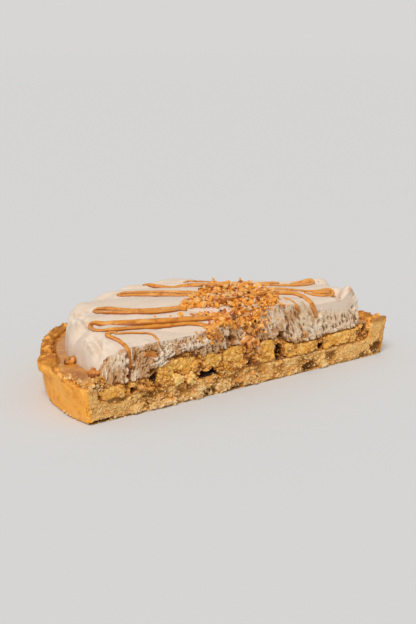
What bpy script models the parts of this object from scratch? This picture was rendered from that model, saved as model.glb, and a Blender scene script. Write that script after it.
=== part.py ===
"""A round peanut butter tart with a straight cut across it: a little more than its back half.

Metres, +Z up. The origin is the centre of the tart's round foot, on the surface it stands on.
+X runs along the cut and the cut faces -Y.
"""

import math

import bmesh
import bpy
from mathutils import Matrix, Vector, noise

GAP = 0.0003  # between pieces that touch
POCKET_REACH = 0.004  # how far a pocket's cutter reaches out of the piece it cuts

# Pastry shell. Bearings are degrees round the tart from +X, so the cut runs from -6 to 186.
FOOT_R = 0.120
CUT_Y = -0.0125
WALL_H = 0.0285
WALL_FLARE = 0.0045
FOOT_ROUND = 0.0035
RIM_ROUND = 0.002
RIM_CROWN = 0.0006
LIP_FLARE = 0.0015
RIGHT_DROP = 0.0024  # the wall and the pool are this much lower on the right
BASE_H = 0.0125
INNER_R = 0.107
LEFT_THINNING = 0.0075  # the wall is this much thinner on the left
WALL_WAVE, WALL_WAVE_SIZE = 0.0006, 0.030
RIM_LUMP, RIM_LUMP_SIZE = 0.0011, 0.007
RIM_FROM, RIM_TO = 0.019, 0.026  # heights between which the rim's unevenness grows
BROKEN_RIM_DROP, BROKEN_RIM_FROM, BROKEN_RIM_TO = 0.0070, 158, 184
FLAKE_OUT, FLAKE_BEARING, FLAKE_SPAN = 0.0032, 161, 4
SHELL_STEPS = 108

# Peanut caramel that lies on the base, and its pool between the cream and the rim
FILLING_H = 0.0198
POOL_H = 0.0262
MENISCUS = 0.0012
POOL_LUMP, POOL_LUMP_SIZE = 0.0006, 0.009
FILLING_STEPS = 72

# Cream
CREAM_EDGE = (  # bearing and radius
    (-8, 0.0965), (16, 0.1005), (60, 0.1010), (92, 0.1000),
    (115, 0.1040), (140, 0.1090), (165, 0.1085), (190, 0.1125),
)
CREAM_H, CREAM_CROWN = 0.0478, 0.0035  # at the wall and in the middle, without the lobes
CUT_EDGE_H = 0.0488  # the top edge of the cut, highest in the middle
LEFT_SINK, LEFT_SINK_FROM, LEFT_SINK_TO = 0.0083, 0.012, -0.050
RIGHT_SINK, RIGHT_SINK_FROM, RIGHT_SINK_TO = 0.0028, 0.030, 0.062
CUT_SLOPE_LENGTH = 0.030
SHOULDER, LEFT_SHOULDER = 0.11, 0.19  # share of the radius over which the top turns down
SIDE_H = POOL_H + 0.0020  # below this height the cream's side is upright
LOBE_PITCH, LOBE_H, LOBE_SLANT = 0.023, 0.0014, 0.10
CREAM_STEPS, CREAM_RINGS = 80, 18
RIGHT_PEAK = (0.0895, -0.0050, 0.0045, 0.0080)  # x, y, height, spread
RIGHT_NOTCH = (0.0900, 0.0090, -0.0060, 0.0055)

CRUMB_HOLLOWS = (  # bites out of the foot of the cut: x, z, half width, half height, depth
    (-0.0335, 0.0020, 0.0050, 0.0030, 0.0045),
    (-0.0110, 0.0010, 0.0035, 0.0025, 0.0030),
    (0.0510, 0.0030, 0.0045, 0.0035, 0.0050),
    (0.0700, 0.0060, 0.0050, 0.0025, 0.0025),
    (0.1140, 0.0040, 0.0048, 0.0035, 0.0050),
)
FILLING_VOIDS = (  # dark holes between the pieces in the cut: x, z, half width, half height, depth
    (-0.0340, 0.0150, 0.0058, 0.0024, 0.0080),
    (0.0235, 0.0180, 0.0034, 0.0048, 0.0070),
    (0.0600, 0.0155, 0.0027, 0.0018, 0.0060),
    (0.1005, 0.0215, 0.0030, 0.0026, 0.0045),
)
BANANA_PIECES = (  # x, z, half width, half height, depth behind the cut, tilt in degrees
    (-0.1040, 0.0162, 0.0082, 0.0033, 0.0170, 2),
    (-0.0575, 0.0205, 0.0150, 0.0074, 0.0140, -4),
    (-0.0311, 0.0222, 0.0066, 0.0040, 0.0120, -12),
    (-0.0146, 0.0205, 0.0082, 0.0074, 0.0130, 5),
    (0.0128, 0.0198, 0.0064, 0.0068, 0.0120, -5),
    (0.0325, 0.0176, 0.0044, 0.0045, 0.0100, 8),
    (0.0482, 0.0166, 0.0096, 0.0034, 0.0150, 4),
    (0.0780, 0.0174, 0.0156, 0.0042, 0.0160, 2),
)
BANANA_LUMP, BANANA_LUMP_SIZE = 0.0006, 0.004
BANANA_EDGE_ROUND = 0.45  # share of the piece's half height
BANANA_WITH_PEANUTS = 2

# The heap of chopped nuts on the middle of the cream
HEAP_X, HEAP_Y, HEAP_R = 0.004, 0.016, 0.042
HEAP_UP, HEAP_DOWN = 0.0030, 0.0012
HEAP_LUMP, HEAP_LUMP_SIZE = 0.0011, 0.006
HEAP_EDGE_LUMP, HEAP_EDGE_LUMP_SIZE = 0.12, 0.018  # the first is a share of the radius
HEAP_STEPS, HEAP_RINGS = 36, 7

# Nuts as large as berries: x, y, z, turn about Z and tilt about Y in degrees
PEANUT_HALVES = ((-0.0570, -0.0128, 0.0168, 4, 28), (-0.0458, -0.0126, 0.0166, -6, 18))
PEANUT_LENGTH, PEANUT_WIDTH = 0.0098, 0.0060
CARAMELISED_NUTS = ((-0.1105, -0.0030, 0.0255, 70, 10), (-0.1070, 0.0255, 0.0275, 25, -8))
NUT_LENGTH, NUT_WIDTH = 0.0085, 0.0055
NUT_UNEVEN, NUT_UNEVEN_SIZE = 0.20, 0.35  # shares of the nut's size

# The curl of caramel in the middle of the cut, swept from its left limb to its right one
CURL_X, CURL_Z, CURL_R, CURL_THICK = 0.0002, 0.0270, 0.0046, 0.0022
CURL_FRONT, CURL_DEPTH = -0.0150, 0.0065
CURL_START, CURL_END, CURL_STEPS = -205, 25, 9  # degrees about Y


def ramp(value, low, high):
    """0 at low, 1 at high, and a smooth rise between; low may be the larger of the two."""
    t = min(max((value - low) / (high - low), 0.0), 1.0)
    return t * t * (3 - 2 * t)


def bump(value, middle, spread):
    return math.exp(-(((value - middle) / spread) ** 2))


def lump(point, size, seed=0.0):
    """Uneven height between -1 and 1 whose lumps are about this size."""
    return noise.noise(Vector(point) / size + Vector((seed, seed * 0.7, -seed)))


def bearing(x, y):
    """Degrees round the tart, from -90 to 270, so that the kept half has no jump in it."""
    degrees = math.degrees(math.atan2(y, x))
    return degrees + 360 if degrees < -90 else degrees


def inner_radius(degrees):
    return INNER_R + LEFT_THINNING * ramp(degrees, 60, 150)


def right_drop(degrees):
    """How much lower the wall and the pool are on the right."""
    return RIGHT_DROP * (1 - ramp(degrees, 25, 90))


def cream_radius(degrees):
    for (d0, r0), (d1, r1) in zip(CREAM_EDGE, CREAM_EDGE[1:]):
        if degrees <= d1:
            return r0 + (r1 - r0) * ramp(degrees, d0, d1)
    return CREAM_EDGE[-1][1]


def cream_top(x, y):
    """Height of the cream's upper side before it turns down at its edge."""
    behind = y - CUT_Y
    reach = math.hypot(x, y) / INNER_R
    plateau = CREAM_H + CREAM_CROWN * (1 - reach * reach)
    at_cut = CUT_EDGE_H - LEFT_SINK * ramp(x, LEFT_SINK_FROM, LEFT_SINK_TO)
    at_cut -= RIGHT_SINK * ramp(x, RIGHT_SINK_FROM, RIGHT_SINK_TO)
    height = at_cut + (plateau - at_cut) * ramp(behind, -POCKET_REACH, CUT_SLOPE_LENGTH)
    lobes = math.cos(2 * math.pi * (behind - LOBE_SLANT * x) / LOBE_PITCH)
    height += LOBE_H * lobes * ramp(behind, 0.0, LOBE_PITCH / 2)
    for at_x, at_y, rise, spread in (RIGHT_PEAK, RIGHT_NOTCH):
        height += rise * bump(x, at_x, 2 * spread if rise < 0 else spread) * bump(y, at_y, spread)
    return height


def cream_height(x, y):
    """The cream's upper side with its rounded shoulder."""
    degrees = bearing(x, y)
    share = math.hypot(x, y) / cream_radius(degrees)
    shoulder = SHOULDER + (LEFT_SHOULDER - SHOULDER) * ramp(degrees, 166, 186)
    fall = min(max((share - 1 + shoulder) / shoulder, 0.0), 1.0)
    top = cream_top(x, y)
    return top - (top - SIDE_H) * (1 - math.sqrt(1 - fall ** 3))


def clear_scene():
    for thing in list(bpy.data.objects):
        bpy.data.objects.remove(thing, do_unlink=True)


def food_material(name, colour, roughness):
    material = bpy.data.materials.new(name)
    material.use_nodes = True
    shader = material.node_tree.nodes["Principled BSDF"]
    shader.inputs["Base Color"].default_value = (*colour, 1)
    shader.inputs["Roughness"].default_value = roughness
    shader.inputs["Metallic"].default_value = 0
    material.diffuse_color = (*colour, 1)
    return material


def add_object(name, bm, material=None):
    bmesh.ops.recalc_face_normals(bm, faces=bm.faces)
    if bm.calc_volume(signed=True) < 0:
        bmesh.ops.reverse_faces(bm, faces=bm.faces)
    mesh = bpy.data.meshes.new(name)
    bm.to_mesh(mesh)
    bm.free()
    mesh.shade_smooth()
    if material:
        mesh.materials.append(material)
    thing = bpy.data.objects.new(name, mesh)
    bpy.context.scene.collection.objects.link(thing)
    return thing


def spun(profile, steps):
    """A profile in the XZ plane, from the axis back to the axis, turned all the way round."""
    bm = bmesh.new()
    verts = [bm.verts.new((r, 0, z)) for r, z in profile]
    edges = [bm.edges.new(pair) for pair in zip(verts, verts[1:])]
    bmesh.ops.spin(bm, geom=verts + edges, axis=(0, 0, 1), angle=2 * math.pi, steps=steps, use_merge=True)
    bmesh.ops.remove_doubles(bm, verts=bm.verts, dist=1e-6)
    bmesh.ops.triangulate(bm, faces=bm.faces, quad_method="FIXED")
    return bm


def cut_front(bm, y):
    """Keeps what lies behind the cut and closes the cut face."""
    geometry = bm.verts[:] + bm.edges[:] + bm.faces[:]
    cut = bmesh.ops.bisect_plane(bm, geom=geometry, plane_co=(0, y, 0), plane_no=(0, -1, 0), clear_outer=True)
    edges = [part for part in cut["geom_cut"] if isinstance(part, bmesh.types.BMEdge)]
    bmesh.ops.edgenet_fill(bm, edges=edges)


def stretch_radii(vert, marks, targets):
    """Moves a vertex along its radius so that each marked radius lands on its target."""
    r = math.hypot(vert.co.x, vert.co.y)
    if r < 1e-9:
        return
    marks, targets = (0.0, *marks), (0.0, *targets)
    for m0, m1, t0, t1 in zip(marks, marks[1:], targets, targets[1:]):
        if r <= m1 + 1e-7:
            factor = (t0 + (r - m0) * (t1 - t0) / (m1 - m0)) / r
            break
    else:
        factor = (r + targets[-1] - marks[-1]) / r
    vert.co.x *= factor
    vert.co.y *= factor


def arc(centre_r, centre_z, radius, start, end, points):
    turns = [math.radians(start + (end - start) * i / (points - 1)) for i in range(points)]
    return [(centre_r + radius * math.cos(a), centre_z + radius * math.sin(a)) for a in turns]


def shell_profile():
    rim_r = FOOT_R + WALL_FLARE
    foot = arc(FOOT_R - FOOT_ROUND, FOOT_ROUND, FOOT_ROUND, -90, 0, 4)
    rim = arc(rim_r - RIM_ROUND, WALL_H - RIM_ROUND, RIM_ROUND, 0, 90, 3)
    lip = arc(INNER_R + LIP_FLARE + RIM_ROUND, WALL_H - RIM_ROUND, RIM_ROUND, 90, 180, 3)
    corner = arc(INNER_R - RIM_ROUND, BASE_H + RIM_ROUND, RIM_ROUND, 0, -90, 3)
    wall = [(FOOT_R + WALL_FLARE * share, WALL_H * share) for share in (0.35, 0.65)]
    middle_of_rim = [((rim_r + INNER_R) / 2, WALL_H + RIM_CROWN)]
    inside = [*lip, (INNER_R, 0.02), *corner, (FOOT_R / 2, BASE_H), (0, BASE_H)]
    return [(0, 0), (FOOT_R / 2, 0), *foot, *wall, *rim, *middle_of_rim, *inside]


def pastry_shell(material):
    """Base and wall in one piece: a flared, lumpy wall whose rim is broken at the left end of the cut."""
    bm = spun(shell_profile(), SHELL_STEPS)
    for vert in bm.verts:
        x, y, z = vert.co
        degrees = bearing(x, y)
        upper = ramp(z, RIM_FROM, RIM_TO)
        outer = FOOT_R + WALL_FLARE
        bulge = WALL_WAVE * lump((x, y, z), WALL_WAVE_SIZE) * ramp(z, 0.0, FOOT_ROUND)
        bulge += FLAKE_OUT * bump(degrees, FLAKE_BEARING, FLAKE_SPAN) * upper
        bulge += RIM_LUMP * lump((x, y, z), RIM_LUMP_SIZE, 3) * upper
        stretch_radii(vert, (INNER_R, outer), (inner_radius(degrees), outer + bulge))
        drop = BROKEN_RIM_DROP * ramp(degrees, BROKEN_RIM_FROM, BROKEN_RIM_TO) + right_drop(degrees)
        vert.co.z += upper * (RIM_LUMP * lump((x, y, z), RIM_LUMP_SIZE, 7) - drop)
    cut_front(bm, CUT_Y)
    return add_object("pastry_shell", bm, material)


def peanut_caramel(material):
    """The filling: a layer on the base that rises to a pool between the cream and the wall."""
    edge, wall = 0.100, INNER_R
    low = BASE_H + GAP
    profile = [(0, low), (wall - 0.003, low), (wall - GAP, low + 0.003), (wall - GAP, POOL_H + MENISCUS)]
    profile += [(wall - 0.002, POOL_H), (edge + 0.0015, POOL_H), (edge + GAP, POOL_H - 0.0010)]
    profile += [(edge + GAP, FILLING_H), (0.05, FILLING_H), (0, FILLING_H)]
    bm = spun(profile, FILLING_STEPS)
    for vert in bm.verts:
        x, y, z = vert.co
        degrees = bearing(x, y)
        if z < FILLING_H - 0.001:
            stretch_radii(vert, (wall,), (inner_radius(degrees),))
        else:
            stretch_radii(vert, (edge, wall), (cream_radius(degrees), inner_radius(degrees)))
        if z > FILLING_H + 0.001:
            vert.co.z += POOL_LUMP * lump((x, y, z), POOL_LUMP_SIZE, 5) - right_drop(degrees)
    cut_front(bm, CUT_Y + GAP)
    return add_object("peanut_caramel", bm, material)


def cream_topping(material):
    """A thick round of whipped cream with long spread lobes, lower at the left of the cut."""
    shares = [1 - (i / CREAM_RINGS) ** 1.15 for i in range(CREAM_RINGS)]
    profile = [(0, 0), (INNER_R, 0), *((INNER_R * share, 1) for share in shares), (0, 1)]
    bm = spun(profile, CREAM_STEPS)
    for vert in bm.verts:
        stretch_radii(vert, (INNER_R,), (cream_radius(bearing(vert.co.x, vert.co.y)),))
        if vert.co.z > 0.5:
            vert.co.z = cream_height(vert.co.x, vert.co.y)
        else:
            vert.co.z = FILLING_H + GAP
    cut_front(bm, CUT_Y + GAP)
    return add_object("cream_topping", bm, material)


def chopped_nuts(name, material=None, grow=0.0):
    """A low, uneven heap pressed a little into the cream; with grow it is the hollow that it lies in."""
    rings = [HEAP_R * i / HEAP_RINGS for i in range(HEAP_RINGS + 1)]
    bm = spun([(r, -1) for r in rings] + [(r, 1) for r in reversed(rings)], HEAP_STEPS)
    for vert in bm.verts:
        reach = math.hypot(vert.co.x, vert.co.y) / HEAP_R
        edge = 1 + HEAP_EDGE_LUMP * lump((vert.co.x, vert.co.y, 0), HEAP_EDGE_LUMP_SIZE, 9) + grow / HEAP_R
        x, y = HEAP_X + vert.co.x * edge, HEAP_Y + vert.co.y * edge
        if vert.co.z > 0:
            up = HEAP_UP * (1 - reach ** 4) + HEAP_LUMP * lump((x, y, 0), HEAP_LUMP_SIZE, 2)
            z = cream_height(x, y) + (POCKET_REACH if grow else max(up, GAP))
        else:
            z = cream_height(x, y) - HEAP_DOWN - grow
        vert.co = Vector((x, y, z))
    cut_front(bm, CUT_Y - POCKET_REACH if grow else CUT_Y + GAP)
    return add_object(name, bm, material)


def rounded_piece(half_width, half_height, depth):
    """A slice: round from above, with rounded edges."""
    bm = bmesh.new()
    bmesh.ops.create_cone(
        bm, cap_ends=True, segments=16, radius1=half_width, radius2=half_width, depth=2 * half_height
    )
    rims = [edge for edge in bm.edges if abs(edge.verts[0].co.z - edge.verts[1].co.z) < 1e-6]
    offset = min(half_height, half_width) * BANANA_EDGE_ROUND
    bmesh.ops.bevel(bm, geom=rims, offset=offset, segments=2, profile=0.5, affect="EDGES", material=-1)
    bmesh.ops.scale(bm, verts=bm.verts, vec=(1, depth / half_width, 1))
    return bm


def banana_piece(index, row, material=None, grow=0.0):
    """One piece of banana that the knife went through; with grow it is the pocket round that piece."""
    x, z, half_width, half_height, depth, tilt = row
    bm = rounded_piece(half_width, half_height, depth)
    for vert in bm.verts:
        vert.co += vert.co.normalized() * BANANA_LUMP * lump(vert.co, BANANA_LUMP_SIZE, index)
    bm.normal_update()
    for vert in bm.verts:
        vert.co += vert.normal * grow
    turn = Matrix.Translation((x, CUT_Y, z)) @ Matrix.Rotation(math.radians(-tilt), 4, "Y")
    bmesh.ops.transform(bm, matrix=turn, verts=bm.verts)
    for vert in bm.verts:
        vert.co.z = max(vert.co.z, BASE_H + GAP - min(grow, GAP))
    cut_front(bm, CUT_Y - POCKET_REACH if grow else CUT_Y)
    return add_object(f"pocket_banana_{index}" if grow else f"banana_piece_{index}", bm, material)


def egg(name, place, size, turn=None, material=None):
    """An uneven egg of this size, turned and put in its place."""
    bm = bmesh.new()
    bmesh.ops.create_icosphere(bm, subdivisions=2, radius=0.5)
    for vert in bm.verts:
        vert.co *= 1 + NUT_UNEVEN * lump(vert.co, NUT_UNEVEN_SIZE, place[0] * 1000)
    bmesh.ops.scale(bm, verts=bm.verts, vec=size)
    bmesh.ops.transform(bm, verts=bm.verts, matrix=Matrix.Translation(place) @ (turn or Matrix.Identity(4)))
    return add_object(name, bm, material)


def nuts(kind, rows, length, width, material):
    """Makes the nuts of one kind and gives back the pockets they lie in."""
    pockets = []
    for index, (x, y, z, turn, tilt) in enumerate(rows, 1):
        lie = Matrix.Rotation(math.radians(turn), 4, "Z") @ Matrix.Rotation(math.radians(tilt), 4, "Y")
        egg(f"{kind}_{index}", (x, y, z), (length, width, width), lie, material)
        room = (length + 4 * GAP, width + 4 * GAP, width + 4 * GAP)
        pockets.append(egg(f"pocket_{kind}_{index}", (x, y, z), room, lie))
    return pockets


def hollow(name, row):
    """A cutter that bites an uneven hollow into the cut face."""
    x, z, half_width, half_height, depth = row
    return egg(name, (x, CUT_Y, z), (2 * half_width, 2 * depth, 2 * half_height))


def caramel_curl(name, material=None, grow=0.0):
    """A strap of set caramel that stands up in the cut and curls over, like an arch."""
    bm = bmesh.new()
    inner, outer = CURL_R - CURL_THICK - grow, CURL_R + grow
    front, back = CURL_FRONT - grow, CURL_FRONT + CURL_DEPTH + grow
    corners = ((inner, front), (outer, front), (outer, back), (inner, back))
    face = bm.faces.new([bm.verts.new((r, y, 0)) for r, y in corners])
    bmesh.ops.rotate(bm, verts=bm.verts, matrix=Matrix.Rotation(math.radians(CURL_END), 3, "Y"))
    sweep = math.radians(CURL_END - CURL_START)
    section = face.verts[:] + face.edges[:] + [face]
    bmesh.ops.spin(bm, geom=section, axis=(0, -1, 0), angle=sweep, steps=CURL_STEPS)
    bmesh.ops.holes_fill(bm, edges=bm.edges)
    bmesh.ops.translate(bm, verts=bm.verts, vec=(CURL_X, 0, CURL_Z))
    return add_object(name, bm, material)


def group_cutters(name, cutters):
    group = bpy.data.collections.new(name)
    bpy.context.scene.collection.children.link(group)
    for cutter in cutters:
        cutter.hide_render = True
        cutter.display_type = "WIRE"
        group.objects.link(cutter)
    return group


def subtract(target, group):
    """Cuts a whole group of hollows out of a piece in one go, because they run into each other."""
    modifier = target.modifiers.new(group.name, "BOOLEAN")
    modifier.operation = "DIFFERENCE"
    modifier.solver = "EXACT"
    modifier.operand_type = "COLLECTION"
    modifier.collection = group


def main():
    clear_scene()
    pastry = food_material("shortcrust_pastry", (0.66, 0.44, 0.20), 0.8)
    caramel = food_material("peanut_caramel", (0.52, 0.29, 0.10), 0.3)
    cream = food_material("whipped_cream", (0.74, 0.60, 0.46), 0.6)
    banana = food_material("caramelised_banana", (0.58, 0.34, 0.06), 0.4)
    nut = food_material("roasted_peanut", (0.78, 0.42, 0.10), 0.45)

    shell = pastry_shell(pastry)
    filling = peanut_caramel(caramel)
    topping = cream_topping(cream)
    caramel_curl("caramel_curl", caramel)
    chopped_nuts("chopped_nuts", nut)
    pieces = []
    pockets = [caramel_curl("pocket_curl", grow=2 * GAP), chopped_nuts("hollow_under_nuts", grow=GAP)]
    for index, row in enumerate(BANANA_PIECES, 1):
        pieces.append(banana_piece(index, row, banana))
        pockets.append(banana_piece(index, row, grow=2 * GAP))
    peanut_pockets = nuts("peanut_half", PEANUT_HALVES, PEANUT_LENGTH, PEANUT_WIDTH, nut)
    nut_pockets = nuts("caramelised_nut", CARAMELISED_NUTS, NUT_LENGTH, NUT_WIDTH, caramel)
    voids = [hollow(f"void_{i}", row) for i, row in enumerate(FILLING_VOIDS, 1)]
    crumbs = [hollow(f"crumb_hollow_{i}", row) for i, row in enumerate(CRUMB_HOLLOWS, 1)]

    everything = group_cutters("pockets", pockets + peanut_pockets + nut_pockets + voids)
    subtract(shell, group_cutters("crumb_hollows", crumbs))
    subtract(filling, everything)
    subtract(topping, everything)
    subtract(pieces[BANANA_WITH_PEANUTS - 1], group_cutters("peanut_pockets", peanut_pockets))


main()
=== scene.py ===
"""The looks of the peanut butter tart: crumbly pastry, caramel filling, spread cream, drizzle and nuts.

Metres, +Z up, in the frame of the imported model: the origin is the centre of the tart's round foot, the
cut runs along X and faces -Y. Bearings are degrees round the tart from +X.
"""

import math
import random

import bmesh
import bpy
from mathutils import Matrix, Vector, noise
from mathutils.bvhtree import BVHTree


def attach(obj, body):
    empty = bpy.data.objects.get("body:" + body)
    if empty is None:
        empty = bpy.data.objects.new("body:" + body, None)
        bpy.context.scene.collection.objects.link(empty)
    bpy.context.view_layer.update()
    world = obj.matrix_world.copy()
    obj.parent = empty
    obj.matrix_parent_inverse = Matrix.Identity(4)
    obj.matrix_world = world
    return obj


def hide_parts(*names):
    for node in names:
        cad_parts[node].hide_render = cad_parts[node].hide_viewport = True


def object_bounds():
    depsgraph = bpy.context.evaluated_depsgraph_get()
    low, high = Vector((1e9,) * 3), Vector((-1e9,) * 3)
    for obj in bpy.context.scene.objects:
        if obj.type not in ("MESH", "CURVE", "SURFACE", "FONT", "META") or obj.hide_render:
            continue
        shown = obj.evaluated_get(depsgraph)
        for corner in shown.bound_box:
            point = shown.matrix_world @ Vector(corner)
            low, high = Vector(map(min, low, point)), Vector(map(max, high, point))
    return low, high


MM = 0.001


def in_metres(*rows, unit=MM):
    """Rows of an x and values in mm as rows in metres; with a unit of 1 the values stay as they are."""
    return [(row[0] * MM, *(value * unit for value in row[1:])) for row in rows]


# The photograph's camera
CAMERA_AT = (-0.4477, -0.5218, 0.2122)
CAMERA_PITCH, CAMERA_TURN = 76.346, -39.0
PHOTO_WIDTH, PHOTO_HEIGHT = 416, 624
FOCAL_PX = 1130
SENSOR_MM = 36

# Shell and filling, as packed
FOOT_R = 0.12
CUT_Y = -0.0125
WALL_H = 0.0285
WALL_FLARE = 0.0045
FOOT_ROUND = 0.0035
RIM_ROUND = 0.002
RIM_CROWN = 0.0006
LIP_FLARE = 0.0015
RIGHT_DROP = 0.0024
BASE_H = 0.0125
INNER_R = 0.107
LEFT_THINNING = 0.0075
WALL_WAVE, WALL_WAVE_SIZE = 0.0006, 0.03
RIM_FROM, RIM_TO = 0.019, 0.026
BROKEN_RIM_DROP, BROKEN_RIM_FROM, BROKEN_RIM_TO = 0.007, 158, 184
BROKEN_RIM_SPREAD = 0.013
FLAKE_OUT, FLAKE_BEARING, FLAKE_SPAN = 0.0042, 161, 4
WIDEST_R = 0.1246
WALL_RINGS = (0.25, 0.35, 0.45, 0.55, 0.65, 0.75)
CURVE_POINTS, CORNER_POINTS = 4, 3
FILLING_H = 0.0198
POOL_H = 0.0262
POOL_EDGE_R = 0.1
RUN_OVER, RUN_OVER_FROM, RUN_OVER_TO = 0.0078, 160, 172

# Cream, as packed
CREAM_EDGE = (  # bearing and radius
    (-8, 0.0965), (16, 0.1005), (60, 0.101), (92, 0.1),
    (115, 0.104), (140, 0.109), (165, 0.1085), (190, 0.1125),
)
CREAM_H, CREAM_CROWN = 0.0478, 0.0035
CUT_EDGE_H = 0.0488
LEFT_SINK, LEFT_SINK_FROM, LEFT_SINK_TO = 0.0083, 0.012, -0.05
RIGHT_SINK, RIGHT_SINK_FROM, RIGHT_SINK_TO = 0.0028, 0.03, 0.062
CUT_SLOPE_LENGTH = 0.03
CUT_EDGE_ROUND, CUT_EDGE_FALL = 0.0075, 0.0026
SHOULDER, LEFT_SHOULDER = 0.11, 0.19
SIDE_H = POOL_H + 0.002
CREAM_INTO_FILLING, CREAM_BEHIND_CUT = 0.0006, 0.0003
# The peak and the notch at the right-hand end of the cut: x, y, rise and spread
RIGHT_PEAK = (0.0868, -0.01, 0.006, 0.0046)
RIGHT_NOTCH = (0.0797, -0.0042, -0.0075, 0.0036)

# The strokes of the spatula: long lobes that run down to the right at this angle to the cut
LOBE_TURN = 36
LOBE_VALLEYS = (-0.085, -0.036, -0.01, 0.03, 0.056, 0.069, 0.096)
LOBE_BEND, LOBE_BEND_FROM, LOBE_BEND_TO = 0.0085, 0.045, 0.085
BACK_SINK, BACK_SINK_FROM, BACK_SINK_TO = 0.0036, 0.06, 0.076
LOBE_H, LOBE_END_H = 0.0016, 0.008
CORNER_FROM, CORNER_LENGTH, CORNER_DEPTH = -0.099, 0.014, 0.0085
CREAM_MARKS = (  # bumps and folds of the cream: photo pixel, radius and rise in mm, and painted shade if it has one
    (92, 338, 2, -2), (95, 342, 2, -4), (98, 346, 2, -4.2), (99, 351, 1.8, -3.6), (97, 358, 2, -1.6),
    (87, 340, 1.9, 2), (91, 345, 1.9, 3), (94.5, 350, 1.9, 2.6), (105, 341, 2, 1.8), (104, 346, 2, 2.2),
    (102.5, 352, 2, 1.8), (112, 345, 3.2, 1), (71, 317, 2, -3.6), (76, 316, 2, -3.8), (81, 317.5, 2, -4.2),
    (85.5, 321, 2, -4.2), (88, 326, 2, -3.2), (74, 322, 2.6, 2.2), (80, 323, 2.6, 2.2), (70, 345, 6, 1.2),
    (90, 310, 3, -2), (82, 305, 5, 1), (99, 296, 4.5, -2.6), (107, 293, 4.5, -2.8), (117, 290, 3.5, 1.4),
    (147, 342, 2.6, 0.9), (136, 346, 3, -0.8), (308, 281, 6, 1.6), (322, 283, 6, 2.4),
    (332, 286, 3.5, 2.2), (334.5, 297, 1.4, -0.5, 0.55), (339.5, 297.5, 1.3, -0.5, 0.55),
    (317.5, 283.8, 0.7, -0.2, 0.6), (349, 292, 1.4, 0.8), (353.5, 296, 1.2, -0.9), (356, 301, 1.4, 0.7),
    (353, 307.5, 1.2, -3, 0.45), (356, 312, 1.3, -1.1), (356.5, 318, 1.2, 1), (356, 324, 1.2, -1.1),
    (356.5, 330, 1.3, 1), (126.5, 357, 1.4, -3.2, 0.45), (126.5, 366, 1.4, -3.2, 0.45),
    (128.5, 376, 1.1, -3, 0.45), (318.5, 314, 1.7, -2.6, 0.2), (299.5, 315, 1.6, -2, 0.2),
    (154, 371, 1.5, -2.6, 0.3), (149, 359, 1.3, -1.2, 0.25),
)

# How finely the pieces are meshed: steps round a spun piece, rings of the cream's top and how they crowd
# towards its edge, size of the faces, and parts into which an edge of the cut is divided
SHELL_STEPS, CREAM_STEPS, FLOOR_STEPS = 240, 300, 96
CREAM_RINGS, CREAM_RING_CROWDING = 54, 1.15
SHELL_GRAIN, FILLING_GRAIN, CREAM_GRAIN, SMALL_GRAIN = 0.00115, 0.001, 0.0011, 0.0005
FILLING_FIRST_GRAIN = 0.0016
CUT_PARTS = 3
CUT_LAYER = 0.0008  # faces whose middle is less than this behind the cut belong to it
WELD = 1e-6
# Tones the mesh keeps for its finish. pit is how deep a place lies: with it the finishes paint shade
# and also painted shade higher up the pastry's wall and on the lower sides of sauce, strap and large nuts.
# into deep pits and highlight on raised places. cut marks the cut. brown is browning or caramel stain,
TONES = ("pit", "cut", "brown")
FRONT = (0, -1, 0)

# Sizes of the grains of the filling and its pool, of the banana, of chips of nut and strap, and of the crumb
FILLING_CHUNK, FILLING_BIT, POOL_CRUMB = 0.0044, 0.002, 0.0024
BANANA_FIBRE, BANANA_GRAIN = 0.0017, 0.0036
NUT_CHIP, BROKEN_NUT_CHIP, STRAP_CHIP = 0.0034, 0.0026, 0.0022
SMALL_CRUMB, FINEST_CRUMB, CUT_CRUMB, CRUMB_BLOCK, RIM_CRUMB = 0.0015, 0.0008, 0.0026, 0.0095, 0.0042
CRUMB_HOLLOWS = in_metres(  # bites out of the foot of the cut: x, z, half width, half height, depth
    (-113, 0.6, 7, 1.4, 4), (-33.5, 2, 5.5, 3.4, 3.4), (-11, 1, 4, 2.8, 2.6), (51, 2.6, 6.2, 4.2, 3.4),
    (70, 6.2, 6.2, 3.4, 1.8), (114, 4.4, 5.4, 4.4, 3.4), (102, 2.2, 5, 2, 1.6), (-76, 9.5, 8, 2.2, 1.6),
    (-100, 11.2, 7, 2.2, 1.8), (-14, 8, 4, 2.6, 1.4),
)
CRUMB_BULGES = in_metres(  # lumps that stand out of the foot of the cut
    (-87, 3, 5, 3, 1.2), (-68, 2.2, 9.5, 2.6, 2.2), (-42, 5, 5.5, 6, 1.8), (-23, 3, 6, 4, 1.6),
    (0, 4.5, 8, 4, 1), (62, 3.5, 5, 4, 1.6), (88, 6, 11, 5, 0.8),
)
CRUMB_ROUGHNESS = in_metres(  # along the cut: x, share
    (-130, 0.45), (-95, 0.5), (-75, 1), (-10, 1.1), (30, 0.8), (55, 0.85), (75, 0.45), (130, 0.45),
    unit=1,
)
FILLING_VOIDS = in_metres(  # dark holes between the pieces in the cut
    (-32.8, 14, 6.4, 2.6, 8), (-0.5, 15, 2.6, 3.2, 2.8), (23.5, 18, 3.2, 5, 5), (60, 15.5, 2.9, 1.9, 6),
    (100.5, 21.5, 3, 2.8, 4.5), (-74.5, 18.5, 2.6, 3.8, 4.5), (-90.5, 15, 2.2, 2, 3.5),
)
FILLING_TOP = in_metres(  # height of the filling along the cut: x, z
    (-130, 20), (-112, 20.5), (-92, 20.5), (-78, 20.5), (-71, 25.5), (-60, 28), (-50, 30.2), (-43, 29),
    (-39, 26.5), (-24, 27.5), (-8, 28.5), (6, 28), (20, 27), (27, 26.5), (31, 22.8), (38, 20.8),
    (58, 20.8), (64, 22.5), (90, 22.8), (94.5, 25), (97.5, 29.6), (130, 29.6),
)
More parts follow.
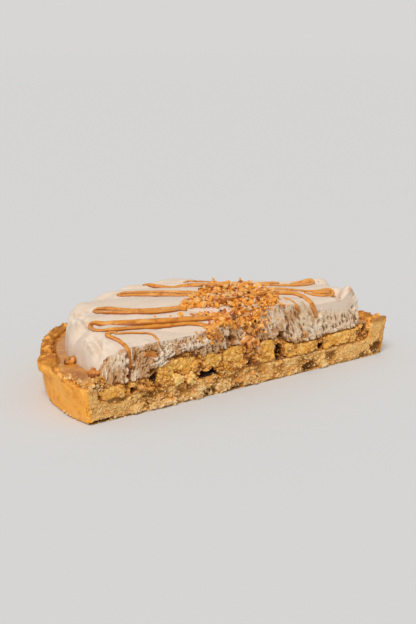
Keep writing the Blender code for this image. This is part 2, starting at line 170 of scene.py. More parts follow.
CREAM_HOLLOWS = in_metres(  # dents in the cut of the cream
    (-76.8, 34.5, 5.4, 2.2, 2), (-75.5, 22.8, 3, 1.8, 4.2), (-92.5, 27, 1.3, 8.5, 2.4),
    (-56, 29, 11, 1.5, 2.2), (24, 28.5, 3, 3, 4), (-17, 33, 4, 2, 2), (30, 33, 2, 1.2, 2.2),
    (88, 40, 2.2, 1.2, 2),
)
CREAM_BULGES = in_metres(  # swellings of it
    (-69, 31, 7.5, 4.8, 1.2), (-95, 33, 5, 8, 1), (-45, 35, 12, 3, 1.2), (-60, 25.2, 8, 2.2, 0.6),
    (13, 37, 6, 6, 0.9), (55, 33, 8, 8, 0.6),
)
SMOOTH_CREAM_FROM = in_metres(  # above this height the cream's front is smooth and not torn: x, z
    (-115, 35), (-104, 39.5), (-92, 41), (-84, 40), (-78, 42), (-60, 40.8), (-40, 40.8), (-25, 52),
    (15, 60), (32, 50), (45, 45.5), (60, 41), (78, 37.5), (95, 37.5),
)
# Between these places along the cut the cream's torn front turns calm. Then the widths of its threads, of the
# slots between them and of its bubbles
CALM_CREAM = (0.02, 0.05)
WIDE_THREAD, THREAD, THIN_THREAD, SLOT_WIDTH = 0.004, 0.0021, 0.0011, 0.0015
BUBBLE, SMALL_BUBBLE = 0.0018, 0.0012
THREAD_LEAN = 0.45
FOOT_TUCK = 0.0095
CREAM_THREADS = in_metres(  # along the cut: 1 where the knife drew threads, 0 where the cream is foamy
    (-113, 0.95), (-90, 0.95), (-82, 0.1), (-35, 0), (-20, 0.7), (0, 1), (130, 1),
    unit=1,
)
CREAM_STAIN = in_metres(  # how much caramel the knife has dragged into the cream: x, share
    (-130, 0.6), (-90, 0.7), (-75, 0.6), (-45, 0.55), (-25, 0.6), (25, 0.45), (45, 0.05), (80, -0.2),
    (130, -0.2),
    unit=1,
)

# Drizzle: each point is a pixel of the photograph and the line's half width there in millimetres
DRIZZLE_IN_PHOTO = (
    ((226, 317.5, 1.8), (208, 318.8, 2), (190, 319.8, 2.2), (170, 321.3, 2.2), (150, 322.2, 2.2),
     (130, 323.2, 2.1), (112, 324, 2.1), (101, 324.3, 1.9), (95, 322.6, 1.5), (91, 324.5, 1.4),
     (90.5, 328, 1.4), (94, 330.5, 1.3), (101, 331, 1.3), (108, 330.3, 1.5), (115, 330, 1.8),
     (130, 328.8, 1.8), (150, 327.5, 1.6), (170, 325.8, 1.4), (185, 324.2, 1.4), (198, 324.3, 1.5),
     (206, 326.5, 1.7), (213, 330, 1.8), (219, 334.5, 1.6), (223, 340, 1)),
    ((117, 332.5, 1), (110, 332.6, 1.3), (106.5, 334.5, 1.4), (108, 337, 1.5), (113, 338.3, 1.6),
     (120, 342, 1.5), (126, 347, 1.4), (129.3, 353, 1.1), (130.3, 361, 0.9), (130.3, 369, 0.7)),
    ((114, 333.8, 0.9), (130, 333.3, 1), (147, 333.3, 1), (153, 335, 0.9), (157, 339, 0.8),
     (159.5, 344, 0.7), (160.5, 347.5, 0.5)),
    ((94, 311, 1.2), (97, 309.4, 1.4), (106, 309.2, 2), (117, 309.8, 1.9), (125, 310.6, 1.7),
     (140, 310.7, 1.5), (160, 309.6, 1.5), (185, 307.3, 1.5), (205, 306, 1.4)),
    ((94, 311.5, 1.3), (98, 312.9, 1.7), (104, 313.6, 2.3), (110, 313.7, 2.6), (125, 313.6, 2.3),
     (145, 313, 2.1), (160, 312.3, 1.9), (188, 309.5, 1.6)),
    ((117.5, 295.3, 0.9), (121, 293.6, 1.2), (130, 292.8, 1.4), (150, 292.5, 1.5), (175, 292.5, 1.7),
     (203, 294, 1.7)),
    ((117.5, 295.6, 0.9), (123, 295.8, 1.2), (135, 295.3, 1.4), (160, 295.3, 1.6), (190, 296, 1.7),
     (208, 297, 1.5)),
    ((143, 285.5, 1.1), (147, 284.2, 1.3), (151, 285.8, 1.8), (160, 287.1, 1.6), (172, 287.8, 1.2),
     (180, 286.8, 1.5), (190, 285.8, 1.7), (205, 285, 1.7), (222, 285, 1.5)),
    ((184.5, 282.8, 1), (187.5, 281, 0.9), (191, 281.4, 1.1), (205, 282, 1.1), (222, 283, 1)),
    ((144, 355.5, 1), (147, 353.4, 1.8), (151, 353.6, 2), (154.5, 355.2, 1.5), (158, 355.8, 0.9)),
    ((296, 283.4, 0.9), (303, 282.6, 1.2), (310, 281.8, 1.2)),
    ((312, 292.8, 0.9), (320, 292.9, 1.5), (326, 292.7, 1.7), (331, 293, 1.3)),
    ((240, 286, 1.6), (262, 286, 1.8), (285, 286, 1.9), (300, 285.6, 1.9), (310, 284.8, 1.7),
     (313.6, 282.6, 1.4), (311, 280, 1.3), (306, 280.4, 1.2), (299, 282.6, 1), (290, 284, 0.8)),
    ((262, 288.8, 1.1), (285, 289.2, 1.1), (302, 290.8, 1), (315, 291.3, 1.1), (325, 290, 1.2),
     (331, 290.2, 1.2), (333.4, 293, 1.2), (331.5, 296, 1.2), (322, 295.8, 1.2), (312, 294.6, 1.1),
     (303, 292.3, 0.9)),
    ((256, 292, 1.8), (270, 293, 1.9), (283, 293, 2), (293, 293.4, 2), (302, 296.5, 2), (309, 301.5, 2),
     (313.5, 308, 1.7), (316, 315, 1.2), (316.8, 319, 0.8)),
    ((284, 298, 0.7), (291, 300.3, 0.8), (295, 304, 0.9), (298, 309.5, 0.9), (298.8, 312.5, 0.6)),
    ((252, 284.2, 0.9), (262, 283.8, 1.1), (274, 282.8, 1.1), (279, 283.2, 0.8)),
)
STRAP_IN_CUT = (  # the strap of caramel that curls out of the cut
    ((240.5, 349, 1), (241, 344, 1.6), (244, 340, 1.9), (248, 337.6, 1.8), (252, 338.6, 1.6),
     (255, 343, 1.8), (258.5, 349, 1.7), (261, 355, 1)),
    ((247, 341, 1), (249.5, 344, 1.5), (250, 348, 1.6), (248.5, 351, 1.1)),
)
DRIZZLE_OVER_NUTS = (
    ((212, 299.5, 1.5), (216, 300.3, 1.7), (224, 300, 1.8), (232, 299, 1.7), (237, 297.6, 1.2)),
    ((196, 286, 1.2), (205, 285.6, 1.7), (214, 285.6, 1.8), (224, 285.4, 1.4), (236, 285.6, 1)),
    ((244, 296.6, 0.9), (252, 295.2, 1.1), (262, 294.4, 1.3), (272, 293.6, 1.5)),
)
PIXEL_STEP = 1.2
STRAND_STEP = 0.0012
STRAND_WIDTH_SHARE, STRAND_HEIGHT_SHARE = 1.12, 0.52
STRAND_LIFT = 0.45
STRAND_SIDES, STRAND_EASINGS, STRAND_SEED_STEP = 14, 4, 3.1

# The heap of nuts as the camera sees it, and single nuts, in pixels of the photograph, with sizes in mm
NUT_HEAP_MIDDLE, NUT_HEAP_HALF, NUT_HEAP_H, NUT_HEAP_COUNT = (235, 301), (54, 22), 0.0026, 2100
NUT_SIZE, NUT_SIZE_SPREAD, LARGEST_NUT = 0.0018, 0.52, 0.0046
NUT_HEAP_SPREAD = (0.75, 0.85)
NUT_HEAP_SEED, NUT_TURN_SEED = 7, 21
HEAP_NUT_RISE, SINGLE_NUT_RISE, STREWN_BIT_RISE = 0.25, 0.2, 0.1
BIT_SHAPES, BIT_BREAKS, BIT_SEED = 14, 4, 5
# How far from a bit's middle it is broken off, how it is stretched, and how near points of it are joined
BREAK_DEPTHS, BIT_STRETCH, BIT_WELD = (0.1, 0.32), (0.55, 1.55), 0.04
NUT_HEAP_OUTLINE = (
    (179, 305), (190, 297), (199, 291), (206, 287), (222, 285), (240, 284), (259, 286), (269, 290),
    (276, 295), (280, 301), (273, 305), (263, 309), (259, 315), (263, 323), (258, 332), (248, 334),
    (238, 327), (228, 327), (216, 324), (218, 319), (229, 316), (236, 311), (228, 306), (208, 307),
    (196, 308), (184, 310),
)
SINGLE_NUTS = (  # a fourth value lifts a nut that stands on others
    (213, 283, 3.8), (213.5, 282, 3.4, 1.8), (216, 285, 4.4), (240, 282, 2.8), (240.2, 282, 2.4, 1.8),
    (227, 284, 3.6), (229, 283, 2.6), (221, 282.6, 1.4), (248, 284, 3.4), (259, 285, 2.8), (191, 299, 3.8),
    (204, 298, 4.6), (209, 302, 3.8), (187, 306, 3.2), (197, 303, 3.2), (180, 315.5, 3.4),
    (192, 315.2, 3.6), (206, 314.6, 3.4), (218, 314.4, 3), (213, 317, 2.6), (196, 333, 2), (200, 340, 2.4),
    (203.5, 342.5, 2.6), (197, 337, 1.4), (300, 327, 1.8), (264, 332, 3), (276, 341, 1.8), (155, 317, 1.4),
    (170, 316, 1.5), (148, 334.6, 0.9), (303, 333, 1.6), (310, 343, 1.4),
)


def ramp(value, low, high):
    """0 at low, 1 at high, and a smooth rise between; low may be the larger of the two."""
    t = min(max((value - low) / (high - low), 0.0), 1.0)
    return t * t * (3 - 2 * t)


def bump(value, middle, spread):
    """1 in the middle, and almost 0 from twice the spread on either side."""
    return math.exp(-(((value - middle) / spread) ** 2))


def lump(point, size, seed=0.0):
    """Uneven height between -1 and 1 whose lumps are about this size; the seed shifts the pattern."""
    return noise.noise(Vector(point) / size + Vector((seed, seed * 0.7, -seed)))


def grain(point, size, seed=0.0):
    """Rounded grains of this size: 1 in the middle of one, 0 in the crevice, and the grain's own number."""
    far, middles = noise.voronoi(Vector(point) / size + Vector((seed, -seed, seed * 0.5)))
    return min((far[1] - far[0]) * 1.7, 1.0), noise.noise(middles[0] * 5.3)


def along(table, x):
    """What a table of x and value says at this x, eased from row to row."""
    for (x0, value0), (x1, value1) in zip(table, table[1:]):
        if x <= x1:
            return value0 + (value1 - value0) * ramp(x, x0, x1)
    return table[-1][1]


def dents(x, z, rows):
    """How deep the hollows of a table are at this place of the cut."""
    ragged = 1 + 0.8 * lump((x, 0, z), 0.003, 31) + 0.5 * lump((x, 0, z), 0.0013, 32)
    depth = 0.0
    for at_x, at_z, half_width, half_height, deep in rows:
        reach = ((x - at_x) / half_width) ** 2 + ((z - at_z) / half_height) ** 2
        if reach < 3:
            depth = max(depth, deep * ramp(reach * ragged, 1.5, 0.25))
    return depth


def bearing(x, y):
    """Degrees round the tart, from -90 to 270, so that the kept half has no jump in it."""
    degrees = math.degrees(math.atan2(y, x))
    return degrees + 360 if degrees < -90 else degrees


def inner_radius(degrees):
    return INNER_R + LEFT_THINNING * ramp(degrees, 60, 150)


def right_drop(degrees):
    return RIGHT_DROP * (1 - ramp(degrees, 25, 90))


def rim_height(degrees):
    return WALL_H - BROKEN_RIM_DROP * ramp(degrees, BROKEN_RIM_FROM, BROKEN_RIM_TO) - right_drop(degrees)


def across_lobes(x, y):
    """How far back a place is, measured across the strokes of the spatula."""
    turn = math.radians(LOBE_TURN)
    bend = LOBE_BEND * ramp(x, LOBE_BEND_FROM, LOBE_BEND_TO)
    return x * math.sin(turn) + y * math.cos(turn) - bend + 0.0015 * lump((x, y, 0), 0.04, 4)


def crest(x, y):
    """1 on the crest of a spread lobe, 0 in the valley between two; the drizzle lies in the valleys."""
    across = across_lobes(x, y)
    for low, high in zip(LOBE_VALLEYS, LOBE_VALLEYS[1:]):
        if across < high:
            return max(math.sin(math.pi * (across - low) / (high - low)), 0.0) ** 0.6
    return 0.5


def cream_radius(degrees):
    return along(CREAM_EDGE, degrees)


def cream_top(x, y):
    """Height of the cream's upper side before it turns down at its edge."""
    behind = y - CUT_Y
    reach = math.hypot(x, y) / INNER_R
    plateau = CREAM_H + CREAM_CROWN * (1 - reach * reach)
    at_cut = CUT_EDGE_H - LEFT_SINK * ramp(x, LEFT_SINK_FROM, LEFT_SINK_TO)
    at_cut -= RIGHT_SINK * ramp(x, RIGHT_SINK_FROM, RIGHT_SINK_TO)
    height = at_cut + (plateau - at_cut) * ramp(behind, -0.004, CUT_SLOPE_LENGTH)
    valley = 1 - crest(x, y)
    share = math.hypot(x, y) / cream_radius(bearing(x, y))
    height -= BACK_SINK * ramp(x, 0.018, 0.042) * ramp(across_lobes(x, y), BACK_SINK_FROM, BACK_SINK_TO)
    height += LOBE_H * (0.6 - 2 * valley) * ramp(behind, 0.0, 0.012)
    height -= LOBE_END_H * valley ** 1.5 * ramp(share, 0.82, 0.97) * ramp(behind, 0.004, 0.016)
    edge = min(max(behind / CUT_EDGE_ROUND, 0.0), 1.0)
    fall = CUT_EDGE_FALL * (1 - math.sqrt(1 - (1 - edge) ** 2))
    height -= fall * ramp(x, 0.02, 0.045) * ramp(x, 0.088, 0.08)
    for at_x, at_y, rise, spread in (RIGHT_PEAK, RIGHT_NOTCH):
        height += rise * bump(x, at_x, spread) * bump(y, at_y, spread)
    return height


def corner_depth(x):
    """How far the cream's left front corner is rounded back behind the cut."""
    t = min(max((CORNER_FROM - x) / CORNER_LENGTH, 0.0), 1.0)
    return CORNER_DEPTH * (1 - math.sqrt(1 - t * t))


def cream_height(x, y):
    """The cream's upper side with its rounded shoulder."""
    degrees = bearing(x, y)
    share = math.hypot(x, y) / cream_radius(degrees)
    shoulder = SHOULDER + (LEFT_SHOULDER - SHOULDER) * ramp(degrees, 166, 186)
    fall = min(max((share - 1 + shoulder) / shoulder, 0.0), 1.0)
    top = cream_top(x, y)
    return top - (top - SIDE_H) * (1 - math.sqrt(1 - fall ** 3))


# ---------------- mesh helpers


def spun(profile, steps):
    """A profile in the XZ plane turned all the way round the axis."""
    bm = bmesh.new()
    verts = [bm.verts.new((r, 0, z)) for r, z in profile]
    edges = [bm.edges.new(pair) for pair in zip(verts, verts[1:])]
    bmesh.ops.spin(bm, geom=verts + edges, axis=(0, 0, 1), angle=math.tau, steps=steps, use_merge=True)
    bmesh.ops.remove_doubles(bm, verts=bm.verts, dist=WELD)
    return bm


def sliced(bm, at, normal):
    """Takes away what lies beyond a plane and closes the cut."""
    geometry = bm.verts[:] + bm.edges[:] + bm.faces[:]
    cut = bmesh.ops.bisect_plane(bm, geom=geometry, plane_co=at, plane_no=normal, clear_outer=True)
    edges = [part for part in cut["geom_cut"] if isinstance(part, bmesh.types.BMEdge)]
    bmesh.ops.edgenet_fill(bm, edges=edges)


def stretch_radii(vert, marks, targets):
    """Moves a vertex along its radius so that each marked radius lands on its target."""
    r = math.hypot(vert.co.x, vert.co.y)
    if r < WELD:
        return
    marks, targets = (0.0, *marks), (0.0, *targets)
    for m0, m1, t0, t1 in zip(marks, marks[1:], targets, targets[1:]):
        if r <= m1 + WELD / 10:
            factor = (t0 + (r - m0) * (t1 - t0) / (m1 - m0)) / r
            break
    else:
        factor = (r + targets[-1] - marks[-1]) / r
    vert.co.x *= factor
    vert.co.y *= factor


def arc(centre_r, centre_z, radius, start, end, points):
    turns = [math.radians(start + (end - start) * i / (points - 1)) for i in range(points)]
    return [(centre_r + radius * math.cos(a), centre_z + radius * math.sin(a)) for a in turns]


def outward(bm):
    bmesh.ops.recalc_face_normals(bm, faces=bm.faces)
    if bm.calc_volume(signed=True) < 0:
        bmesh.ops.reverse_faces(bm, faces=bm.faces)
    return bm


def placed(name, data):
    thing = bpy.data.objects.new(name, data)
    bpy.context.scene.collection.objects.link(thing)
    return thing


def meshed(name, bm):
    mesh = bpy.data.meshes.new(name)
    bm.to_mesh(mesh)
    bm.free()
    return mesh


def linked(name, bm, smooth=True):
    mesh = meshed(name, bm)
    if smooth:
        mesh.shade_smooth()
    else:
        mesh.shade_flat()
    return placed(name, mesh)


def evened(bm, size):
    """The same closed shape with even faces of about this size."""
    rough = linked("rough", outward(bm))
    modifier = rough.modifiers.new("even", "REMESH")
    modifier.mode = "VOXEL"
    modifier.voxel_size = size
    modifier.use_smooth_shade = True
    even = bpy.data.meshes.new_from_object(rough.evaluated_get(bpy.context.evaluated_depsgraph_get()))
    bpy.data.objects.remove(rough)
    bm = bmesh.new()
    bm.from_mesh(even)
    bpy.data.meshes.remove(even)
    return bm


def refine_cut(bm, y):
    """Divides the faces of the cut, where the crumb shows."""
    bm.normal_update()
    cut = [face for face in bm.faces if face.normal.y < -0.5 and face.calc_center_median().y < y]
    edges = {edge for face in cut for edge in face.edges}
    bmesh.ops.subdivide_edges(bm, edges=list(edges), cuts=CUT_PARTS - 1, use_grid_fill=True)


def carved(bm, relief):
    """Moves each vertex as relief says for its place and its outward direction, and keeps its tones."""
    bm.normal_update()
    layers = [bm.verts.layers.float.new(name) for name in TONES]
    moves = []
    for vert in bm.verts:
        move, values = relief(vert.co, vert.normal)
        moves.append(move)
        for layer, value in zip(layers, values):
            vert[layer] = value
    for vert, move in zip(bm.verts, moves):
        vert.co += move
    return bm


def rounded(bm, times):
    """Rounds the corners of an evenly meshed piece."""
    axes = {"use_axis_x": True, "use_axis_y": True, "use_axis_z": True}
    for _ in range(times):
        bmesh.ops.smooth_vert(bm, verts=bm.verts, factor=0.5, **axes)
    return bm


def cad_copy(node):
    """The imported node's shape as one merged mesh."""
    bm = bmesh.new()
    bm.from_mesh(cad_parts[node].data)
    bmesh.ops.remove_doubles(bm, verts=bm.verts, dist=WELD)
    return bm


def finished(name, bm, finish_name, slot, *nodes, smooth=True):
    """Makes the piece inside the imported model's box; it rides on the one body and replaces these nodes."""
    for vert in bm.verts:
        vert.co = [min(max(part, low), high) for part, low, high in zip(vert.co, *cad_box)]
    piece = linked(name, bm, smooth)
    piece.data.materials.append(look[finish_name])
    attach(piece, "root")
    if nodes:
        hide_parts(*nodes)
    return piece


# ---------------- pastry


def shell_profile():
    rim_r = FOOT_R + WALL_FLARE
    foot = arc(FOOT_R - FOOT_ROUND, FOOT_ROUND, FOOT_ROUND, -90, 0, CURVE_POINTS)
    rim = arc(rim_r - RIM_ROUND, WALL_H - RIM_ROUND, RIM_ROUND, 0, 90, CURVE_POINTS)
    lip = arc(INNER_R + LIP_FLARE + RIM_ROUND, WALL_H - RIM_ROUND, RIM_ROUND, 90, 180, CURVE_POINTS)
    corner = arc(INNER_R - RIM_ROUND, BASE_H + RIM_ROUND, RIM_ROUND, 0, -90, CORNER_POINTS)
    wall = [(FOOT_R + WALL_FLARE * share, WALL_H * share) for share in WALL_RINGS]
    middle_of_rim = [((rim_r + INNER_R) / 2, WALL_H + RIM_CROWN)]
    inside = [*lip, (INNER_R, 0.02), *corner, (FOOT_R / 2, BASE_H), (0, BASE_H)]
    return [(0, 0), (FOOT_R / 2, 0), *foot, *wall, *rim, *middle_of_rim, *inside]


def whole_rim(degrees):
    """1 where the rim is whole, 0 where it is broken at the left, and a little more at the right end."""
    return ramp(degrees, 173, 165) + ramp(degrees, -2, -20)


def fine_crumb(co):
    """The crumb that all of the pastry has: a small grain, its own number and an uneven height."""
    return *grain(co, SMALL_CRUMB, 8), lump(co, FINEST_CRUMB, 5)


def crumb_on_cut(co, on_cut, near_rim):
    """The cut through the pastry: crumb and blocks of crumb, bites out of its foot, and its baked skin."""
    x, y, z = co
    degrees = bearing(x, y)
    r = math.hypot(x, y)
    small, other, fine = fine_crumb(co)
    crumb, own = grain(co, CUT_CRUMB, 3)
    block, _ = grain(co, CRUMB_BLOCK, 15)
    rough = along(CRUMB_ROUGHNESS, x) * (0.85 + 0.9 * lump((x, 0, z), 0.01, 14))
    rough = max(rough, 0.3) * (1 - 0.3 * ramp(z, 0.008, 0.012))
    out = 0.0014 * (crumb - 0.5 + 0.9 * own) + 0.0009 * (small - 0.5 + 0.6 * other) + 0.0004 * fine
    out = (out - 0.0012 * (1 - block)) * rough + dents(x, z, CRUMB_BULGES) - dents(x, z, CRUMB_HOLLOWS)
    bite = 0.0015 + 0.0015 * lump((x, 0, 0), 0.006, 9)
    out -= 0.0018 * ramp(z, bite, 0.0) * ramp(lump((x, 5, 0), 0.012, 9), -0.1, 0.25)
    inside_wall = ramp(r, inner_radius(degrees), inner_radius(degrees) - 0.002)
    out -= 0.001 * ramp(z, BASE_H - 0.001, BASE_H + 0.0006) * inside_wall
    skin = ramp(FOOT_R + WALL_FLARE * z / WALL_H - r, 0.0022, 0.0004)
    move = Vector((0, -min(out, 0.002) * on_cut, 0))
    move.z = 0.0006 * lump((x, 3, z), 0.0025, 6) * ramp(z, 0.0006, 0.002)
    return move, (0.5 - out / 0.0028, on_cut * (1 - skin), 0.6 * near_rim * whole_rim(degrees))


def crumb_on_rim(co, normal, near_rim, flake):
    """The top of the rim and of the base: coarse crumb, unevenly browned, and less so at the right."""
    x, y, _ = co
    r = math.hypot(x, y)
    whole = whole_rim(bearing(x, y))
    small, _, fine = fine_crumb(co)
    crumb, own = grain(co, RIM_CRUMB, 3)
    out = 0.0017 * (crumb - 0.8 + 0.9 * own) + 0.0016 * lump(co, 0.0085, 19)
    out += 0.0012 * (small - 0.6) + 0.0004 * fine
    out = min(out, 0.0009) * near_rim * (0.35 + 0.65 * whole)
    dark = 0.6 - 0.18 * ramp(x, 0.06, 0.1) + 1.5 * lump(co, 0.0048, 18) + 0.9 * lump(co, 0.0022, 28)
    dark *= near_rim * (0.65 + 0.35 * whole)
    radial = Vector((x / r, y / r, 0))
    move = normal * out + radial * flake
    spare = WIDEST_R + flake - r
    return move - radial * max(move.dot(radial) - spare, 0), (0.58 - out / 0.0042, 0, dark)


def baked_side(co, normal, near_rim, flake, outside):
    """The side of the wall: faint waves, chips out of it near the foot, brown at the rim, painted shade
    higher up.
    """
    x, y, z = co
    small, other, fine = fine_crumb(co)
    out = 0.0003 * lump(co, 0.006, 2) + 0.00012 * lump(co, 0.002, 2) + 0.00008 * fine
    chips = ramp(small + 0.5 * other, 0.4, 1.1) * ramp(z, 0.0026, 0.0008)
    out = min(out + 0.0007 * chips, max(WIDEST_R - math.hypot(x, y), 0)) + flake
    baked_and_shaded = near_rim * (0.8 + 0.2 * whole_rim(bearing(x, y)))
    # Painted shade: the wall is painted darker higher up, in place of light bounced onto its lower part.
    baked_and_shaded += 0.36 * ramp(z, 0.012, 0.022) * (1 + 0.5 * lump(co, 0.012, 27))
    return normal * out * outside, (0.47 - (out - flake) / 0.0022, 0, baked_and_shaded)


def shell_relief(co, normal):
    """The pastry's cut, its tops and its sides; its foot stays flat."""
    x, y, z = co
    if z < 0.0004 and normal.z < -0.7:
        return Vector(), (0, 0, 0)
    degrees = bearing(x, y)
    rim = rim_height(degrees)
    near_rim = ramp(z, rim - 0.0045, rim - 0.0015)
    on_cut = ramp(-normal.y, 0.5, 0.8) * ramp(y, CUT_Y + 0.0025, CUT_Y + 0.0012)
    if on_cut > 0:
        return crumb_on_cut(co, on_cut, near_rim)
    outside = ramp((normal.x * x + normal.y * y) / max(math.hypot(x, y), WELD), 0.4, 0.8)
    flake = FLAKE_OUT * bump(degrees, FLAKE_BEARING, FLAKE_SPAN) * ramp(z, rim - 0.01, rim - 0.007) * outside
    if near_rim > 0.02 and normal.z > -0.2 or normal.z > 0.5:
        return crumb_on_rim(co, normal, near_rim, flake)
    return baked_side(co, normal, near_rim, flake, outside)


def tart_pastry():
    """Base and wall: a flared golden wall with a broken, browned rim, and a crumbly knife cut."""
    bm = spun(shell_profile(), SHELL_STEPS)
    outer = FOOT_R + WALL_FLARE
    for vert in bm.verts:
        x, y, z = vert.co
        degrees = bearing(x, y)
        broken = ramp(degrees, BROKEN_RIM_FROM, BROKEN_RIM_TO)
        in_wall = ramp(math.hypot(x, y), INNER_R + 0.004, FOOT_R) * broken
        upper = ramp(z, RIM_FROM - BROKEN_RIM_SPREAD * in_wall, RIM_TO)
        bulge = WALL_WAVE * lump((x, y, z), WALL_WAVE_SIZE) * ramp(z, 0.0, FOOT_ROUND)
        bulge += 0.0011 * lump((x, y, z), 0.007, 3) * upper * ramp(degrees, 176, 158)
        stretch_radii(vert, (INNER_R, outer), (inner_radius(degrees), outer + bulge))
        vert.co.z += upper * (0.0011 * lump((x, y, z), 0.007, 7) - WALL_H + rim_height(degrees))
    sliced(bm, (0, CUT_Y, 0), FRONT)
    bm = evened(bm, SHELL_GRAIN)
    refine_cut(bm, CUT_Y + CUT_LAYER)
    return carved(bm, shell_relief)


# ---------------- caramel filling


def overflow(degrees):
    """How far the caramel has run out over the broken rim at the left end."""
    return RUN_OVER * ramp(degrees, RUN_OVER_FROM, RUN_OVER_TO)


def filling_relief(co, normal):
    """Lumps and voids where the filling is cut, and soft swirls on top of its pool."""
    x, y, z = co
    degrees = bearing(x, y)
    r = math.hypot(x, y)
    on_cut = ramp(-normal.y, 0.45, 0.8) * ramp(y, CUT_Y + 0.003, CUT_Y + 0.0014)
    if on_cut > 0:
        big, own = grain(co, FILLING_CHUNK, 17)
        small, other = grain(co, FILLING_BIT, 12)
        out = 0.0024 * (big - 0.5 + 0.9 * own) + 0.0015 * (small - 0.5 + 0.7 * other)
        out += 0.0005 * lump(co, 0.001, 9) - dents(x, z, FILLING_VOIDS) - 0.0002
        over_wall = ramp(r, inner_radius(degrees) - 0.001, inner_radius(degrees) + 0.001)
        out -= 0.001 * over_wall * ramp(z, 0.0225, 0.02)
        move = Vector((0, -min(out, 0.0014) * on_cut, 0))
        return move, (0.5 - out / 0.0032, on_cut, 0.5 + own)
    if normal.z > 0.3:
        swirl = lump((x * 1.4, y, 0), 0.013, 6)
        out = 0.00055 * swirl + 0.00018 * lump(co, 0.0028, 16)
        edge = ramp(r, inner_radius(degrees) - 0.004, inner_radius(degrees) + 0.001)
        crumbs, _ = grain(co, POOL_CRUMB, 10)
        out += 0.0006 * edge * (crumbs - 0.4) * ramp(lump(co, 0.006, 5), -0.1, 0.3)
        return Vector((0, 0, out)), (0.5 - out / 0.0012, 0, edge)
    return Vector(), (0.5, 0, 0)


def caramel_filling():
    """The layer on the base, granular where it is cut, and its glossy pool inside the rim."""
    edge, wall = POOL_EDGE_R, INNER_R
    low = BASE_H - 0.0005
    profile = [(0, low), (wall - 0.003, low), (wall, low + 0.003), (wall + 0.0006, POOL_H + 0.0006)]
    profile += [(wall - 0.0012, POOL_H + 0.0002), (wall - 0.003, POOL_H), (edge + 0.001, POOL_H)]
    profile += [(edge - 0.003, POOL_H), (edge - 0.003, FILLING_H), (0.05, FILLING_H), (0, FILLING_H)]
    bm = spun(profile, SHELL_STEPS)
    for vert in bm.verts:
        x, y, z = vert.co
        degrees = bearing(x, y)
        r = math.hypot(x, y)
        if z < FILLING_H - 0.001:
            stretch_radii(vert, (wall,), (inner_radius(degrees),))
            continue
        stretch_radii(vert, (edge, wall), (cream_radius(degrees), inner_radius(degrees) + overflow(degrees)))
        if z > FILLING_H + 0.001:
            outer = ramp(r, edge + 0.001, wall)
            over_rim = min(POOL_H + 0.0004, rim_height(degrees) + 0.0009)
            vert.co.z += 0.0005 * lump((x, y, z), 0.009, 5) - right_drop(degrees)
            if overflow(degrees) > 0:
                vert.co.z += (over_rim - POOL_H) * outer * ramp(degrees, 158, 164)
    sliced(bm, (0, CUT_Y, 0), FRONT)
    bm = evened(bm, FILLING_FIRST_GRAIN)
    for vert in bm.verts:
        x, y, z = vert.co
        if abs(z - FILLING_H) < 0.001 and math.hypot(x, y) < inner_radius(bearing(x, y)) - 0.002:
            ragged = 0.001 * lump((x, 0, 0), 0.0035, 41)
            vert.co.z += (along(FILLING_TOP, x) + ragged - FILLING_H) * ramp(y, CUT_Y + 0.0125, CUT_Y + 0.01)
    bm = evened(bm, FILLING_GRAIN)
    refine_cut(bm, CUT_Y + CUT_LAYER)
    return carved(bm, filling_relief)


# ---------------- cream


def spread_cream(co, normal):
    """How far the spread cream stands out: long streaks of the spatula on top, soft lumps at the side."""
    x, y, z = co
    upper = ramp(normal.z, 0.15, 0.5)
    streaks = 0.6 * lump((x * 0.07, y, z), 0.002, 21) + 0.9 * lump((x * 0.12, y, z), 0.0065, 23)
    top = 0.00034 * streaks + 0.00035 * lump((x * 0.5, y, z), 0.012, 25)
    side = 0.00045 * lump(co, 0.01, 26) + 0.00012 * lump(co, 0.003, 26)
    return top * upper + side * (1 - upper)


def torn_cream(x, z, lean, foot):
    """How far the cut cream stands out: drawn by the knife into threads with slots between, or foamy."""
    calm = ramp(x, *CALM_CREAM)
    threads = (0.55 - 2.4 * abs(lump((lean, 0, z * 0.16), WIDE_THREAD, 11))) * (1 - 0.75 * calm)
    threads += 0.45 - 1.9 * abs(lump((lean, 0, z * (0.22 + 0.2 * calm)), THREAD, 13))
    threads += 0.4 * lump((lean, 0, z * 0.35), THIN_THREAD, 12)
    cell, own = grain((lean, 0, z * 0.8), BUBBLE, 19)
    tiny, other = grain((x, 0, z), SMALL_BUBBLE, 29)
    foam = ramp(cell, 0.08, 0.5) * ramp(own, -0.2, 0.15)
    foam += 0.5 * ramp(tiny, 0.15, 0.6) * ramp(other, -0.2, 0.25)
    slot, its_own = grain((lean, 0, z * 0.36), SLOT_WIDTH, 43)
    lower = ramp(z, along(SMOOTH_CREAM_FROM, x) - 0.001, foot + 0.003)
    slots = ramp(slot, 0.2, 0.65) * ramp(its_own, -0.08, 0.12) * (0.45 + 0.55 * lower)
    thready = along(CREAM_THREADS, x)
    amount = max(0.9 + 0.6 * lump((x, 0, z), 0.015, 33), 0.35) * (0.5 + 0.5 * ramp(z, 0.044, 0.034))
    drawn = 0.0013 * threads + 0.0003 - 0.0023 * slots - 0.0004 * foam
    foamy = 0.0008 - 0.0024 * foam + 0.0003 * threads
    return (thready * drawn + (1 - thready) * foamy) * amount


